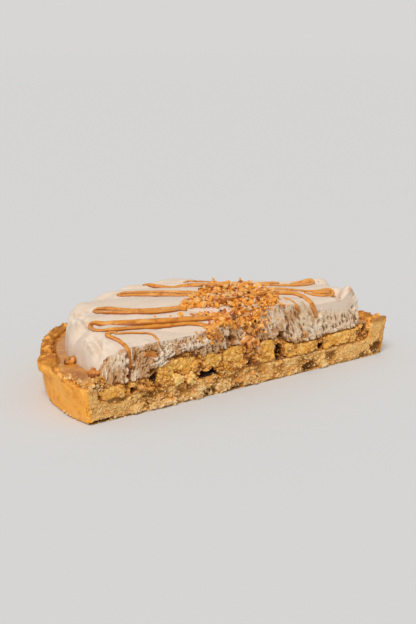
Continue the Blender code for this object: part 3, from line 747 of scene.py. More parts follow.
def cream_relief(co, normal):
    """The spread cream, and its cut: torn below, smooth above, and tucked in behind the filling."""
    x, y, z = co
    on_cut = ramp(-normal.y, 0.35, 0.65) * ramp(y - corner_depth(x), CUT_Y + 0.0045, CUT_Y + 0.002)
    lean = x + THREAD_LEAN * z * ramp(x, -0.085, -0.01)
    ragged = 0.0015 * lump((lean, 0, 0), 0.0032, 34) + 0.0009 * lump((lean, 0, 0), 0.0013, 35)
    foot = along(FILLING_TOP, x) + ragged * (1 - 0.65 * ramp(x, *CALM_CREAM))
    tucked = max(FOOT_TUCK - 0.8 * (y - CUT_Y), 0) * ramp(z, foot + 0.0004, foot - 0.0006)
    if on_cut <= 0:
        out = spread_cream(co, normal)
        # The pit tone paints highlight on the ridges of the top and shade in its furrows.
        return normal * out + Vector((0, tucked, 0)), (0.34 - out / 0.004, 0, 0)
    smooth_from = along(SMOOTH_CREAM_FROM, x)
    torn = ramp(z, smooth_from + 0.004, smooth_from - 0.007)
    out = torn_cream(x, z, lean, foot) * torn
    out += (dents(x, z, CREAM_BULGES) - dents(x, z, CREAM_HOLLOWS)) * ramp(torn, 0, 0.5)
    # Painted shade: the pit tone rises in a band just above the filling, a painted shadow line where the
    # cream meets it.
    pit = 0.34 + 0.16 * torn - out / 0.0024 + 0.5 * ramp(z, foot + 0.0012, foot) * torn
    move = Vector((0, tucked - min(out, 0.002) * on_cut, 0))
    stain = 0.5 + 0.9 * lump((x, 0, z), 0.012, 37) + 0.6 * lump((lean, 0, z * 0.5), 0.0045, 38)
    stain += along(CREAM_STAIN, x) * ramp(z, 0.05, 0.036)
    return move, (pit, on_cut * torn, stain)


def with_marks(relief, marks):
    """The same relief with the soft bumps and folds added, each a place, a radius, a rise and painted shade.
    """
    def marked(co, normal):
        move, (pit, cut, brown) = relief(co, normal)
        for place, radius, rise, stain in marks:
            near = (co - place).length / radius
            if near < 2.4:
                move = move + normal * rise * math.exp(-near * near)
                # Painted shade: a mark's stain darkens its hollow through the pit tone.
                pit += stain * math.exp(-near * near)
        return move, (pit, cut, brown)
    return marked


def cream_body():
    """Spread whipped cream: long smooth lobes on top, and a cut that the knife has dragged into threads."""
    shares = [1 - (ring / CREAM_RINGS) ** CREAM_RING_CROWDING for ring in range(CREAM_RINGS)]
    profile = [(0, 0), (INNER_R, 0), *((INNER_R * share, 1) for share in shares), (0, 1)]
    bm = spun(profile, CREAM_STEPS)
    for vert in bm.verts:
        stretch_radii(vert, (INNER_R,), (cream_radius(bearing(vert.co.x, vert.co.y)),))
        on_top = vert.co.z > 0.5
        vert.co.z = cream_height(vert.co.x, vert.co.y) if on_top else FILLING_H - CREAM_INTO_FILLING
    sliced(bm, (0, CUT_Y + CREAM_BEHIND_CUT, 0), FRONT)
    bm = evened(bm, CREAM_GRAIN)
    for vert in bm.verts:
        vert.co.y += corner_depth(vert.co.x) * ramp(vert.co.y, CUT_Y + 3 * CORNER_DEPTH, CUT_Y)
    tree = BVHTree.FromBMesh(bm)
    marks = []
    for px, py, radius, rise, *stain in CREAM_MARKS:
        place, _ = seen(px, py, [tree])
        if place:
            marks.append((place, radius * MM, rise * MM, sum(stain)))
    refine_cut(bm, CUT_Y + CORNER_DEPTH)
    return carved(bm, with_marks(cream_relief, marks))


# ---------------- pieces in the cut


def smooth_pulp(co, normal):
    """Soft cooked fruit: a cut with short fibres and small dents."""
    small, own = grain((co.x, co.y, co.z * 0.6), BANANA_FIBRE, 53)
    out = 0.001 * lump(co, 0.0055, 51) + 0.0005 * (small - 0.5 + 0.8 * own) + 0.0006 * lump(co, 0.0022, 7)
    return normal * out, (0.5 - out / 0.0018, 0, 0.5 + 1.2 * lump((co.x, co.y, co.z * 0.4), 0.003, 55))


def mashed_pulp(co, normal):
    """Fruit that has gone to grains in the caramel."""
    soft, own = grain(co, BANANA_GRAIN, 51)
    small, _ = grain(co, BANANA_FIBRE, 53)
    out = 0.0012 * (soft - 0.5 + 0.8 * own) + 0.0008 * (small - 0.5) + 0.0004 * lump(co, 0.0009, 7)
    return normal * out, (0.4 - out / 0.003, 1, 0.5 + own)


def nut_relief(co, normal):
    """A nut in its coat of caramel, painted darker on its lower side as shade and paler on top as highlight.
    """
    chip, own = grain(co, NUT_CHIP, 60)
    out = 0.0008 * (chip - 0.4 + 0.8 * own) + 0.0006 * lump(co, 0.0028, 61) + 0.0002 * lump(co, 0.0012, 62)
    return normal * out, (0.5 - out / 0.0014, 0, 0.74 + 0.8 * lump(co, 0.004, 63) - 0.35 * normal.z)


def broken_nut_relief(co, normal):
    """A split peanut that the knife has broken up into ragged ridges."""
    chip, own = grain(co, BROKEN_NUT_CHIP, 65)
    out = 0.0016 * (chip - 0.2 + 0.9 * own) + 0.0012 * lump(co, 0.003, 66) + 0.0004 * lump(co, 0.0012, 62)
    return normal * out, (0.6 - out / 0.0024, 0, 0.5 + own)


# ---------------- scattered bits


def any_way(chance):
    return Vector([chance.gauss(0, 1) for _ in range(3)])


def broken_bits():
    """Angular bits about 1 across, each one a ball with flat breaks."""
    chance = random.Random(BIT_SEED)
    bits = []
    for _ in range(BIT_SHAPES):
        bm = bmesh.new()
        bmesh.ops.create_icosphere(bm, subdivisions=1, radius=0.5)
        for _ in range(BIT_BREAKS):
            normal = any_way(chance).normalized()
            sliced(bm, normal * chance.uniform(*BREAK_DEPTHS), normal)
        bmesh.ops.remove_doubles(bm, verts=bm.verts, dist=BIT_WELD)
        bits.append(meshed("bit", outward(bm)))
    return bits


def scattered(bits, spots, seed):
    """Copies of the bits at the spots (place, size, tone), each turned its own way, as one mesh."""
    chance = random.Random(seed)
    bm = bmesh.new()
    for place, size, tone in spots:
        start = len(bm.verts)
        bm.from_mesh(chance.choice(bits))
        layer = bm.verts.layers.float.get("brown") or bm.verts.layers.float.new("brown")
        bm.verts.ensure_lookup_table()
        verts = bm.verts[start:]
        turn = Matrix.Rotation(chance.uniform(0, math.tau), 4, any_way(chance))
        stretch = Matrix.Diagonal((*(size * chance.uniform(*BIT_STRETCH) for _ in range(3)), 1))
        bmesh.ops.transform(bm, verts=verts, matrix=Matrix.Translation(place) @ turn @ stretch)
        for vert in verts:
            vert[layer] = tone
    return bm


def inside(px, py, outline):
    """Whether a pixel lies inside an outline of pixels."""
    within = False
    for (ax, ay), (bx, by) in zip(outline, outline[1:] + outline[:1]):
        if (ay > py) != (by > py) and px < ax + (py - ay) * (bx - ax) / (by - ay):
            within = not within
    return within


def heap_spots(trees):
    """Chopped nuts, two or three deep in the middle of the heap and single towards its edge."""
    chance = random.Random(NUT_HEAP_SEED)
    spots = []
    (middle_x, middle_y), (half_x, half_y) = NUT_HEAP_MIDDLE, NUT_HEAP_HALF
    spread_x, spread_y = half_x * NUT_HEAP_SPREAD[0], half_y * NUT_HEAP_SPREAD[1]
    while len(spots) < NUT_HEAP_COUNT:
        px, py = chance.gauss(middle_x, spread_x), chance.gauss(middle_y, spread_y)
        size = min(chance.lognormvariate(math.log(NUT_SIZE), NUT_SIZE_SPREAD), LARGEST_NUT)
        place, normal = seen(px, py, trees) if inside(px, py, NUT_HEAP_OUTLINE) else (None, None)
        if place:
            middle = ramp(math.hypot((px - middle_x) / half_x, (py - middle_y) / half_y), 1.0, 0.3)
            place = place + normal * HEAP_NUT_RISE * size
            place.z += NUT_HEAP_H * chance.random() ** 1.5 * middle * ramp(normal.z, 0.3, 0.7)
            spots.append((place, size, chance.random()))
    for px, py, size, *lift in SINGLE_NUTS:
        place, normal = seen(px, py, trees)
        if place:
            out = SINGLE_NUT_RISE * size + sum(lift)
            spots.append((place + normal * out * MM, size * MM, 0.35 + 0.35 * chance.random()))
    return spots


def strewn(trees, rows, seed):
    """Bits where the camera sees them; a row has two pixels, spread, count, smallest and largest in mm."""
    chance = random.Random(seed)
    spots = []
    for px, py, to_px, to_py, spread, count, smallest, largest in rows:
        for _ in range(count):
            share = chance.random()
            at_x = px + (to_px - px) * share + chance.gauss(0, spread)
            at_y = py + (to_py - py) * share + chance.gauss(0, spread)
            size = (smallest + (largest - smallest) * chance.random() ** 2) * MM
            place, normal = seen(at_x, at_y, trees)
            if place:
                spots.append((place + normal * STREWN_BIT_RISE * size, size, chance.random()))
    return spots


BANANA_PIECES, MASHED_PIECES = range(1, 9), (2, 3, 4)
BANANA_ROUNDINGS, NUT_ROUNDINGS = 8, 1
PEANUT_SHIFTS = (-0.0018, -0.0004, -0.0009), (-0.0036, -0.0004, -0.002)
NUT_SHIFTS = (  # for each large nut, how far it is moved and how much it is stretched
    ((-0.0004, -0.0006, 0.0014), (1.65, 1.35, 1.3)),
    ((-0.001, -0.0004, 0.0004), (1.55, 1.0, 0.85)),
)
NUTS_IN_CUT = (  # rows of bits: pixel, pixel, spread, count, smallest and largest size in mm
    (207, 328, 213, 341, 1.8, 70, 1, 2.8), (212, 327, 219, 339, 2.2, 90, 1, 3),
    (217, 322, 226, 324, 2, 60, 1, 2.8), (214, 315, 234, 313, 1.6, 26, 1, 2.6),
    (230, 312, 262, 312, 3.6, 90, 1, 2.8), (228, 322, 256, 322, 4, 110, 1, 2.8),
    (240, 332, 264, 330, 2.5, 60, 1, 2.4), (256, 304, 272, 328, 3.5, 44, 0.8, 1.8),
    (262, 306, 285, 303, 3.4, 60, 0.8, 2.2), (254, 318, 258, 326, 1.2, 14, 1.4, 3.2),
    (265, 318, 270, 325, 1, 8, 1.4, 3), (212, 316, 236, 318, 2.2, 46, 1, 2.8),
    (195, 314.5, 222, 314.5, 0.9, 36, 1.2, 3.2), (209, 322, 228, 323, 1.6, 44, 1.2, 3),
)
CREAM_SMEARS = (  # cream that clings to the heap
    (200, 300, 262, 296, 4, 20, 1.6, 4), (228, 309, 262, 305, 1.8, 8, 1.6, 4),
    (232, 289, 274, 292, 2, 12, 1.4, 3.6), (248, 310, 258, 330, 2.6, 10, 1.2, 3),
)
CARAMEL_GRAINS = (
    (64, 376, 92, 391, 1.8, 60, 0.8, 2), (160, 372, 205, 360, 3, 90, 0.8, 1.8),
    (165, 378, 200, 366, 3, 60, 0.8, 1.6), (210, 368, 245, 352, 4, 110, 0.8, 2),
    (216, 374, 244, 366, 3, 110, 0.9, 2.2), (100, 392, 128, 388, 3, 60, 0.8, 1.6),
    (128, 392, 158, 385, 3, 60, 0.8, 1.8), (262, 358, 282, 350, 3, 40, 0.8, 1.6),
    (290, 345, 318, 335, 3, 50, 0.7, 1.5),
)
CRUMBS_ON_CUT = (
    (63, 377, 72, 379, 1.6, 30, 0.7, 2), (78, 379, 84, 387, 1.6, 34, 0.7, 2),
    (84, 387, 103, 388, 2, 60, 0.7, 1.9), (86, 380, 100, 382, 1.6, 20, 0.6, 1.5),
    (64, 410, 71, 416, 0.8, 16, 0.7, 1.7), (98, 422, 140, 413, 2.2, 70, 0.7, 2),
    (92, 414, 140, 402, 4, 70, 0.6, 1.6), (140, 410, 215, 394, 3.5, 130, 0.8, 2.6),
    (140, 402, 215, 386, 3.5, 80, 0.8, 2), (215, 392, 300, 370, 3, 90, 0.8, 2.2),
    (215, 384, 300, 362, 3.5, 70, 0.7, 1.8), (300, 370, 380, 350, 2.6, 80, 0.7, 2),
    (300, 360, 372, 344, 3, 60, 0.6, 1.6), (216, 377, 242, 366, 2.6, 60, 0.8, 2),
)


# ---------------- places seen in the photograph


def photo_ray(px, py):
    """Where a pixel of the photograph looks, from the camera."""
    turn = Matrix.Rotation(math.radians(CAMERA_TURN), 3, "Z")
    pitch = Matrix.Rotation(math.radians(CAMERA_PITCH), 3, "X")
    ray = Vector(((px - PHOTO_WIDTH / 2) / FOCAL_PX, (PHOTO_HEIGHT / 2 - py) / FOCAL_PX, -1))
    return turn @ pitch @ ray.normalized()


def seen(px, py, trees):
    """The nearest place of these that a pixel of the photograph shows, and its outward direction."""
    hits = [tree.ray_cast(Vector(CAMERA_AT), photo_ray(px, py)) for tree in trees]
    hits = [hit for hit in hits if hit[0]]
    return min(hits, key=lambda hit: hit[3])[:2] if hits else (None, None)


# ---------------- drizzle


def curve_through(points, step):
    """Points on a smooth line through these, at about this spacing."""
    padded = [points[0] * 2 - points[1], *points, points[-1] * 2 - points[-2]]
    line = []
    for a, b, c, d in zip(padded, padded[1:], padded[2:], padded[3:]):
        count = max(1, round((c - b).length / step))
        for i in range(count):
            t = i / count
            line.append(0.5 * ((2 * b) + (c - a) * t + (2 * a - 5 * b + 4 * c - d) * t * t
                               + (3 * b - a - 3 * c + d) * t ** 3))
    return line + [points[-1]]


def strand(bm, line, seed):
    """One line of caramel, of points with an up and a half width: flat oval rings joined, with round ends."""
    rings = []
    last = len(line) - 1
    for i, (point, up, half_width) in enumerate(line):
        forward = (line[min(i + 1, last)][0] - line[max(i - 1, 0)][0]).normalized()
        side = forward.cross(up).normalized()
        up = side.cross(forward)
        to_end = min(1.0, (min(i, last - i) + 0.35) * STRAND_STEP / half_width)
        swell = math.sqrt(to_end * (2 - to_end))
        wide = STRAND_WIDTH_SHARE * swell * half_width * (1 + 0.18 * lump((i * STRAND_STEP, seed, 0), 0.006))
        high = STRAND_HEIGHT_SHARE * swell * half_width * (1 + 0.2 * lump((i * STRAND_STEP, seed, 5), 0.005))
        at = Matrix((side * wide, up * high, forward)).transposed().to_4x4()
        at.translation = point + up * STRAND_HEIGHT_SHARE * half_width * STRAND_LIFT
        is_end = i in (0, last)
        ring = bmesh.ops.create_circle(bm, segments=STRAND_SIDES, radius=1, matrix=at, cap_ends=is_end)
        rings.append({edge for vert in ring["verts"] for edge in vert.link_edges})
    for first, second in zip(rings, rings[1:]):
        bmesh.ops.bridge_loops(bm, edges=list(first | second))


def eased(values):
    """The same list with its steps smoothed and its ends kept."""
    return [values[0], *((a + 2 * b + c) / 4 for a, b, c in zip(values, values[1:], values[2:])), values[-1]]


def drizzle(lines, trees, relief):
    """Lines of caramel on what the camera sees along lines of pixels."""
    bm = bmesh.new()
    for number, pixels in enumerate(lines):
        points, ups, widths = [], [], []
        for px, py, half_width in curve_through([Vector(pixel) for pixel in pixels], PIXEL_STEP):
            place, normal = seen(px, py, trees)
            if place:
                points.append(place)
                ups.append(normal)
                widths.append(half_width * MM)
        for _ in range(STRAND_EASINGS):
            points, ups = eased(points), eased(ups)
        one = bmesh.new()
        strand(one, spaced(points, ups, widths), number * STRAND_SEED_STEP)
        mesh = meshed("strand", outward(one))
        bm.from_mesh(mesh)
        bpy.data.meshes.remove(mesh)
    return carved(bm, relief)


def strap_relief(co, normal):
    """Caramel that was pulled and torn: rough, painted darker below as shade and paler on top as highlight.
    """
    chip, own = grain(co, STRAP_CHIP, 94)
    out = 0.0007 * lump(co, 0.0026, 91) + 0.0004 * lump(co, 0.0012, 92) + 0.0005 * (chip - 0.5 + 0.7 * own)
    return normal * out, (0.5 - out / 0.0012, 0, 0.55 + 0.8 * lump(co, 0.003, 93) - 0.45 * normal.z)


def sauce_relief(co, normal):
    """Poured caramel: its sides are painted darker than its top as shade, but less so where it has run down
    the cut.
    """
    out = 0.00022 * lump(co, 0.003, 81) + 0.00012 * lump(co, 0.0013, 82)
    dark = ramp(normal.z, 0.95, 0.2) * (0.5 + 0.5 * ramp(co.y, CUT_Y + 0.003, CUT_Y + 0.012))
    return normal * out, (0.5 - out / 0.0005, ramp(co.x, -0.015, 0.03), dark)


def spaced(points, ups, widths):
    """The line's points a strand's step apart, each with its up and half width."""
    line, gone = [(points[0], ups[0], widths[0])], 0.0
    for last, point, up, width in zip(points, points[1:], ups[1:], widths[1:]):
        gone += (point - last).length
        if gone >= STRAND_STEP:
            line.append((point, up.normalized(), width))
            gone = 0.0
    return line


# ---------------- finishes


def linear(colour):
    """An sRGB hex colour as linear RGBA."""
    parts = [int(colour[i : i + 2], 16) / 255 for i in (1, 3, 5)]
    return (*(c / 12.92 if c <= 0.04045 else ((c + 0.055) / 1.055) ** 2.4 for c in parts), 1.0)


def put(tree, kind, inputs=None, **settings):
    """Adds one node. Each input gets a value, or follows the output socket it is given."""
    made = tree.nodes.new("ShaderNode" + kind)
    for name, value in settings.items():
        setattr(made, name, value)
    for name, value in (inputs or {}).items():
        if isinstance(value, bpy.types.NodeSocket):
            tree.links.new(value, made.inputs[name])
        else:
            made.inputs[name].default_value = value
    return made


def pattern(tree, kind, low, high, *size):
    """0 to 1 as noise or chips of a size in mm, or a tone that the mesh keeps, goes from low to high."""
    if size:
        scale = tuple(1 / (MM * part) for part in (size * 3)[:3])
        place = put(tree, "TexCoord").outputs["Object"]
        place = put(tree, "Mapping", {"Vector": place, "Scale": scale}).outputs["Vector"]
    if kind == "noise":
        facts = {"Vector": place, "Scale": 1.0, "Detail": 3.0, "Roughness": 0.6}
        source = put(tree, "TexNoise", facts).outputs["Fac"]
    elif kind == "chips":
        source = put(tree, "TexVoronoi", {"Vector": place, "Scale": 1.0}).outputs["Color"]
    else:
        source = put(tree, "Attribute", attribute_name=kind).outputs["Fac"]
    facts = {"Value": source, "From Min": low, "From Max": high}
    return put(tree, "MapRange", facts, interpolation_type="SMOOTHSTEP").outputs["Result"]


def finish(name, colour, stains=(), bumps=None, **shader):
    """A material: one colour, stains laid over it one after another, and the bumps of its grain."""
    material = bpy.data.materials.new(name)
    material.use_nodes = True
    tree = material.node_tree
    surface = tree.nodes["Principled BSDF"]
    colour = linear(colour)
    for kind, low, high, stain, strength, *size in stains:
        facts = {0: pattern(tree, kind, low, high, *size), 1: strength}
        amount = put(tree, "Math", facts, operation="MULTIPLY").outputs[0]
        colour = put(tree, "Mix", {0: amount, 6: colour, 7: linear(stain)}, data_type="RGBA").outputs[2]
    if stains:
        tree.links.new(colour, surface.inputs["Base Color"])
    else:
        surface.inputs["Base Color"].default_value = colour
    if bumps:
        height, *size = bumps
        facts = {"Height": pattern(tree, "noise", *BUMP_RANGE, *size), "Distance": height * MM}
        tree.links.new(put(tree, "Bump", facts).outputs["Normal"], surface.inputs["Normal"])
    for socket, value in shader.items():
        surface.inputs[socket.replace("_", " ")].default_value = value
    return material


BUMP_RANGE = (0.3, 0.7)
SOFT_RADIUS = (1.0, 0.55, 0.3)

# A stain is what masks it (noise or chips, or a tone of the mesh), from where to where that rises, its
# colour, its strength, and for noise and chips their size in mm, once or for each axis. Bumps are a height
# and a size in mm. The real crumb and grain are finer than 1 mm, too fine to show in the render, where a
# pixel is 0.6 mm, so they are drawn as coarse as they need to show: 0.8 to 2 mm.
FINISHES = {
    # Shortcrust, baked in a ring: sandy where it is cut, golden and marbled outside, brown at the rim.
    "baked_shortcrust": dict(
        colour="#E6B468",
        stains=(
            ("chips", 0.55, 0.95, "#F7DA9C", 0.6, 1.7),
            ("chips", 0.4, 0.1, "#CC8C38", 0.42, 1.2),
            ("cut", 0.7, 0.3, "#FFB044", 1.0),
            ("noise", 0.48, 0.64, "#FFC066", 0.45, 13, 13, 8),
            ("noise", 0.5, 0.64, "#DC801C", 0.5, 7, 7, 5),
            # Browned at the rim; higher up the wall this brown is painted shade.
            ("brown", 0.12, 0.9, "#AE6428", 0.9),
            # Painted shade in the hollows of the crumb, darkest in the deepest; paler on raised crumb,
            # partly its own pale grain and partly painted highlight.
            ("pit", 0.35, 0.0, "#F8E0AC", 0.6),
            ("pit", 0.6, 1.0, "#B4721C", 0.75),
            ("pit", 0.95, 1.6, "#6B4210", 0.7),
        ),
        bumps=(0.22, 1.0),
        Roughness=0.75, IOR=1.42,
    ),
    # Peanut butter caramel, poured: smooth and shiny on top, full of grains where it is cut.
    "poured_peanut_caramel": dict(
        colour="#DE9832",
        stains=(
            ("chips", 0.55, 0.95, "#F8CC78", 0.65, 1.9),
            ("chips", 0.4, 0.1, "#A86018", 0.6, 1.4),
            ("cut", 0.7, 0.3, "#CC8732", 1.0),
            ("noise", 0.46, 0.64, "#AE6820", 0.55, 14, 9, 9),
            ("noise", 0.54, 0.68, "#E0A45A", 0.45, 7, 5, 5),
            # Paler on raised grains and swirls, partly painted highlight; painted shade in the hollows,
            # near black in the deepest voids.
            ("pit", 0.36, 0.0, "#F8CE7C", 0.7),
            ("pit", 0.6, 1.0, "#9C5410", 0.85),
            ("pit", 1.05, 1.75, "#2E1404", 0.95),
        ),
        bumps=(0.15, 1.3),
        Roughness=0.34, IOR=1.46, Coat_Weight=0.25, Coat_Roughness=0.22,
    ),
    # Whipped cream, spread with a palette knife: satin with faint drawn lines, and torn where it is cut.
    "spread_whipped_cream": dict(
        colour="#E2CDB8",
        stains=(
            ("noise", 0.4, 0.7, "#D9C0A4", 0.45, 24, 9, 8),
            ("cut", 0.2, 0.8, "#DFC3A0", 0.9),
            ("brown", 0.55, 1.05, "#BE8442", 0.7),
            # Painted shade: brown in the pits of the cut, partly the caramel in its pores, near black in the
            # deepest holes;
            # near white on raised threads and ridges as painted highlight.
            ("pit", 0.46, 0.86, "#95581E", 0.9),
            ("pit", 0.22, -0.05, "#F3E6D4", 0.6),
            ("pit", 1.45, 2.3, "#3A1C08", 0.9),
        ),
        bumps=(0.1, 1.2),
        Roughness=0.55, IOR=1.44,
        Subsurface_Weight=0.12, Subsurface_Radius=SOFT_RADIUS, Subsurface_Scale=0.002,
    ),
    # Cream dragged over the nuts: dull beige, full of caramel.
    "smeared_cream": dict(
        colour="#DCC2A2",
        stains=(("noise", 0.45, 0.65, "#C89C68", 0.6, 2),),
        bumps=(0.1, 1.2),
        Roughness=0.6, IOR=1.44,
    ),
    # Banana, cooked soft in caramel: moist gold pulp with darker, glossy edges.
    "caramelised_banana": dict(
        colour="#EEAE46",
        stains=(
            ("noise", 0.42, 0.66, "#F8CE7C", 0.8, 5, 5, 4),
            ("noise", 0.52, 0.68, "#D0821C", 0.6, 2.4),
            ("brown", 0.5, 0.9, "#DC9430", 0.4),
            # Painted shade in the hollows of the pulp.
            ("pit", 0.66, 1.2, "#A86414", 0.75),
        ),
        bumps=(0.18, 1.4),
        Roughness=0.36, IOR=1.4,
        Subsurface_Weight=0.15, Subsurface_Radius=SOFT_RADIUS, Subsurface_Scale=0.003,
    ),
    # Peanut, roasted and split: pale and waxy.
    "split_roasted_peanut": dict(
        colour="#F6CC7C",
        stains=(
            ("noise", 0.45, 0.7, "#EEB04E", 0.6, 3),
            # Painted shade in the hollows between its ridges.
            ("pit", 0.55, 0.95, "#DA861C", 0.85),
        ),
        bumps=(0.12, 1.0),
        Roughness=0.42, IOR=1.47,
    ),
    # A large nut in its coat of burnt caramel: painted highlight on top, painted shade below and in its
    # hollows.
    "coated_large_nut": dict(
        colour="#CE7C22",
        stains=(
            ("brown", 0.4, 0.05, "#E8A858", 0.7),
            ("brown", 0.5, 0.85, "#8E4610", 0.9),
            ("pit", 0.55, 0.9, "#7A3A10", 0.8),
        ),
        bumps=(0.15, 1.2),
        Roughness=0.38, IOR=1.49,
    ),
    # A strap of caramel with cream worked into it: tan to orange, brown in its hollows as painted shade.
    "pale_caramel_strap": dict(
        colour="#ECA254",
        stains=(
            # Painted highlight on top and painted shade below.
            ("brown", 0.4, 0.05, "#F8D4A4", 0.85),
            ("brown", 0.5, 0.95, "#C0680E", 0.85),
            ("pit", 0.62, 1.05, "#8A4408", 0.8),
        ),
        bumps=(0.12, 1.5),
        Roughness=0.4, IOR=1.46,
    ),
    # Chopped nuts in hard caramel: golden, from pale to burnt, with small bright breaks.
    "caramelised_nut_bits": dict(
        colour="#F4A430",
        stains=(
            ("brown", 0.4, 0.06, "#F6C678", 0.9),
            ("brown", 0.64, 0.84, "#B85A12", 0.9),
            ("brown", 0.94, 0.97, "#5A2A10", 0.9),
            ("noise", 0.45, 0.7, "#D87A18", 0.5, 1.6),
        ),
        bumps=(0.15, 0.9),
        Roughness=0.32, IOR=1.49, Coat_Weight=0.3, Coat_Roughness=0.15,
    ),
    # Caramel sauce, drizzled and set: tan on top, painted shade of dark orange down its sides, lighter to the
    # right.
    "set_caramel_sauce": dict(
        colour="#D88A2A",
        stains=(
            ("noise", 0.52, 0.64, "#EAAC58", 0.65, 9, 6, 5),
            ("brown", 0.15, 0.75, "#A65406", 0.92),
            ("cut", 0.2, 0.9, "#E8A04A", 0.45),
            ("noise", 0.46, 0.36, "#A85808", 0.6, 7, 4, 5),
        ),
        bumps=(0.1, 4, 1.5, 2),
        Roughness=0.32, IOR=1.47,
    ),
    # Grains of the filling that the knife has pulled out: moist, from pale to brown.
    "caramel_grains": dict(
        colour="#E09A34",
        stains=(
            ("brown", 0.3, 0.0, "#F8CE80", 0.8),
            ("brown", 0.7, 0.9, "#B4681A", 0.8),
            ("noise", 0.5, 0.7, "#C07A24", 0.5, 1.5),
        ),
        bumps=(0.12, 0.9),
        Roughness=0.42, IOR=1.45,
    ),
    # Crumbs of the pastry: dry and matte, pale gold, a few of them browned.
    "pastry_crumbs": dict(
        colour="#EAC282",
        stains=(
            ("brown", 0.4, 0.0, "#F8E4BA", 0.8),
            ("brown", 0.8, 0.95, "#C68C40", 0.8),
            ("noise", 0.5, 0.7, "#D29C50", 0.5, 1.5),
        ),
        bumps=(0.15, 0.8),
        Roughness=0.75, IOR=1.42,
    ),
}


# ---------------- stage

FLOOR_FLAT, FLOOR_REACH, FLOOR_SLOPE = 4.0, 45.0, 3.0
FLOOR_COLOUR, FLOOR_ROUGHNESS = "#D6D5D3", 0.85
FLOOR_BEND_POINTS = 8
LIGHT_FROM, LIGHT_SPREAD, LIGHT_POWER = (-0.52, -0.42, 0.75), 30, 2.1
ROOM_COLOUR, ROOM_LIGHT = "#FFFFFF", 0.5


def studio():
    """A pale floor that rises gently all round to above eye height, a soft light and the photo's camera."""
    slope = math.tan(math.radians(FLOOR_SLOPE))
    bend = 2 * FLOOR_FLAT / slope
    profile = [(0.0, 0.0), (1.0, 0.0), *arc(FLOOR_FLAT, bend, bend, -90, FLOOR_SLOPE - 90, FLOOR_BEND_POINTS)]
    last_r, last_z = profile[-1]
    profile.append((FLOOR_REACH, last_z + (FLOOR_REACH - last_r) * slope))
    bm = spun(profile, FLOOR_STEPS)
    bmesh.ops.recalc_face_normals(bm, faces=bm.faces)
    bm.faces.ensure_lookup_table()
    if bm.faces[0].normal.z < 0:
        bmesh.ops.reverse_faces(bm, faces=bm.faces)
    floor = linked("floor", bm)
    floor.data.materials.append(finish("painted_floor", FLOOR_COLOUR, Roughness=FLOOR_ROUGHNESS))

    lamp = bpy.data.lights.new("softbox", "SUN")
    lamp.energy = LIGHT_POWER
    lamp.angle = math.radians(LIGHT_SPREAD)
    holder = placed("softbox", lamp)
    holder.rotation_euler = Vector(LIGHT_FROM).to_track_quat("Z", "Y").to_euler()

    world = bpy.data.worlds.new("studio")
    world.use_nodes = True
    background = world.node_tree.nodes["Background"]
    background.inputs["Color"].default_value = linear(ROOM_COLOUR)
    background.inputs["Strength"].default_value = ROOM_LIGHT
    bpy.context.scene.world = world

    lens = bpy.data.cameras.new("camera")
    lens.sensor_fit = "VERTICAL"
    lens.sensor_height = SENSOR_MM
    lens.lens = FOCAL_PX * SENSOR_MM / PHOTO_HEIGHT
    camera = placed("camera", lens)
    camera.location = CAMERA_AT
    camera.rotation_euler = (math.radians(CAMERA_PITCH), 0, math.radians(CAMERA_TURN))
    bpy.context.scene.camera = camera
    bpy.context.scene.view_settings.view_transform = "Standard"


# ---------------- the tart

STREWN_PIECES = (  # name, rows, what the bits lie on, seed, finish, slot and whether they are soft
    ("nuts_in_cut", NUTS_IN_CUT, ("cream",), 22, "caramelised_nut_bits", "caramelised_nuts", False),
    ("cream_smears", CREAM_SMEARS, ("cream", "heap"), 28, "smeared_cream", "whipped_cream", True),
    ("filling_grains", CARAMEL_GRAINS, ("filling", "pastry", "cream"), 24,
     "caramel_grains", "peanut_caramel", False),
    ("pastry_crumbs", CRUMBS_ON_CUT, ("filling", "pastry"), 26, "pastry_crumbs", "shortcrust_pastry", False),
)
SAUCE_PIECES = (  # name, lines and what they lie on
    ("caramel_drizzle", DRIZZLE_IN_PHOTO, ("cream",)),
    ("drizzle_over_nuts", DRIZZLE_OVER_NUTS, ("cream", "heap")),
)

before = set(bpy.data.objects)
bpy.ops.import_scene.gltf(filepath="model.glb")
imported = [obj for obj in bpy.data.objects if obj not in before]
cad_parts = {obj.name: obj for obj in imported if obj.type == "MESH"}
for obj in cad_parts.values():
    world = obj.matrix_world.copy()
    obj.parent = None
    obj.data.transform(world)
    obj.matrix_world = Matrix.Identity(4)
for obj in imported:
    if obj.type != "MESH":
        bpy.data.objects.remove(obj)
cad_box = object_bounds()
studio()
look = {name: finish(name, **facts) for name, facts in FINISHES.items()}

bodies = {"pastry": tart_pastry(), "filling": caramel_filling(), "cream": cream_body()}
trees = {name: BVHTree.FromBMesh(bm) for name, bm in bodies.items()}
finished("tart_pastry", bodies["pastry"], "baked_shortcrust", "shortcrust_pastry", "pastry_shell")
finished("caramel_filling", bodies["filling"], "poured_peanut_caramel", "peanut_caramel", "peanut_caramel")
finished("whipped_cream", bodies["cream"], "spread_whipped_cream", "whipped_cream", "cream_topping")

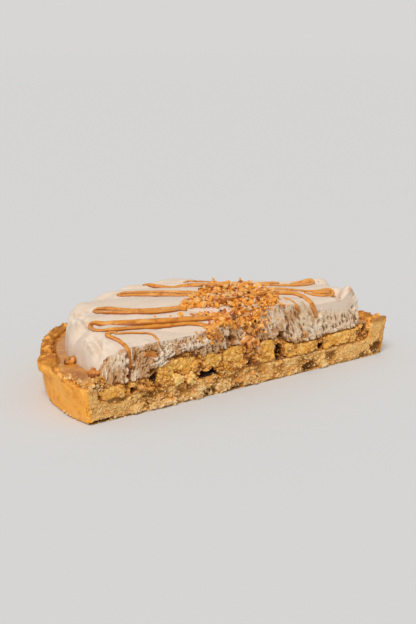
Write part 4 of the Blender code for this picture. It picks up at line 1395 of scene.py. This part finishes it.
for index in BANANA_PIECES:
    node = f"banana_piece_{index}"
    pulp = rounded(evened(cad_copy(node), SMALL_GRAIN), BANANA_ROUNDINGS)
    carved(pulp, mashed_pulp if index in MASHED_PIECES else smooth_pulp)
    finished(f"banana_slice_{index}", pulp, "caramelised_banana", "caramelised_banana", node)
for index in (1, 2):
    half = cad_copy(f"peanut_half_{index}")
    bmesh.ops.translate(half, verts=half.verts, vec=PEANUT_SHIFTS[index - 1])
    half = carved(evened(half, SMALL_GRAIN), broken_nut_relief)
    finished(f"peanut_{index}", half, "split_roasted_peanut", "roasted_peanut", f"peanut_half_{index}")
    nut = cad_copy(f"caramelised_nut_{index}")
    middle = sum((vert.co for vert in nut.verts), Vector()) / len(nut.verts)
    shift, stretch = NUT_SHIFTS[index - 1]
    there, back = Matrix.Translation(middle + Vector(shift)), Matrix.Translation(-middle)
    bmesh.ops.transform(nut, verts=nut.verts, matrix=there @ Matrix.Diagonal((*stretch, 1)) @ back)
    nut = carved(rounded(evened(nut, SMALL_GRAIN), NUT_ROUNDINGS), nut_relief)
    finished(f"large_nut_{index}", nut, "coated_large_nut", "caramelised_nuts", f"caramelised_nut_{index}")
curl = carved(evened(cad_copy("caramel_curl"), SMALL_GRAIN), strap_relief)
finished("curled_caramel", curl, "pale_caramel_strap", "set_caramel", "caramel_curl")
strap = drizzle(STRAP_IN_CUT, [trees["cream"], trees["filling"]], strap_relief)
finished("caramel_strap", strap, "pale_caramel_strap", "set_caramel")

bits = broken_bits()
heap = scattered(bits, heap_spots([trees["cream"]]), NUT_TURN_SEED)
trees["heap"] = BVHTree.FromBMesh(heap)
finished("nut_heap", heap, "caramelised_nut_bits", "caramelised_nuts", "chopped_nuts", smooth=False)
for name, rows, under, seed, finish_name, slot, soft in STREWN_PIECES:
    spots = strewn([trees[key] for key in under], rows, seed)
    finished(name, scattered(bits, spots, seed + 1), finish_name, slot, smooth=soft)
for name, lines, under in SAUCE_PIECES:
    sauce = drizzle(lines, [trees[key] for key in under], sauce_relief)
    finished(name, sauce, "set_caramel_sauce", "set_caramel")
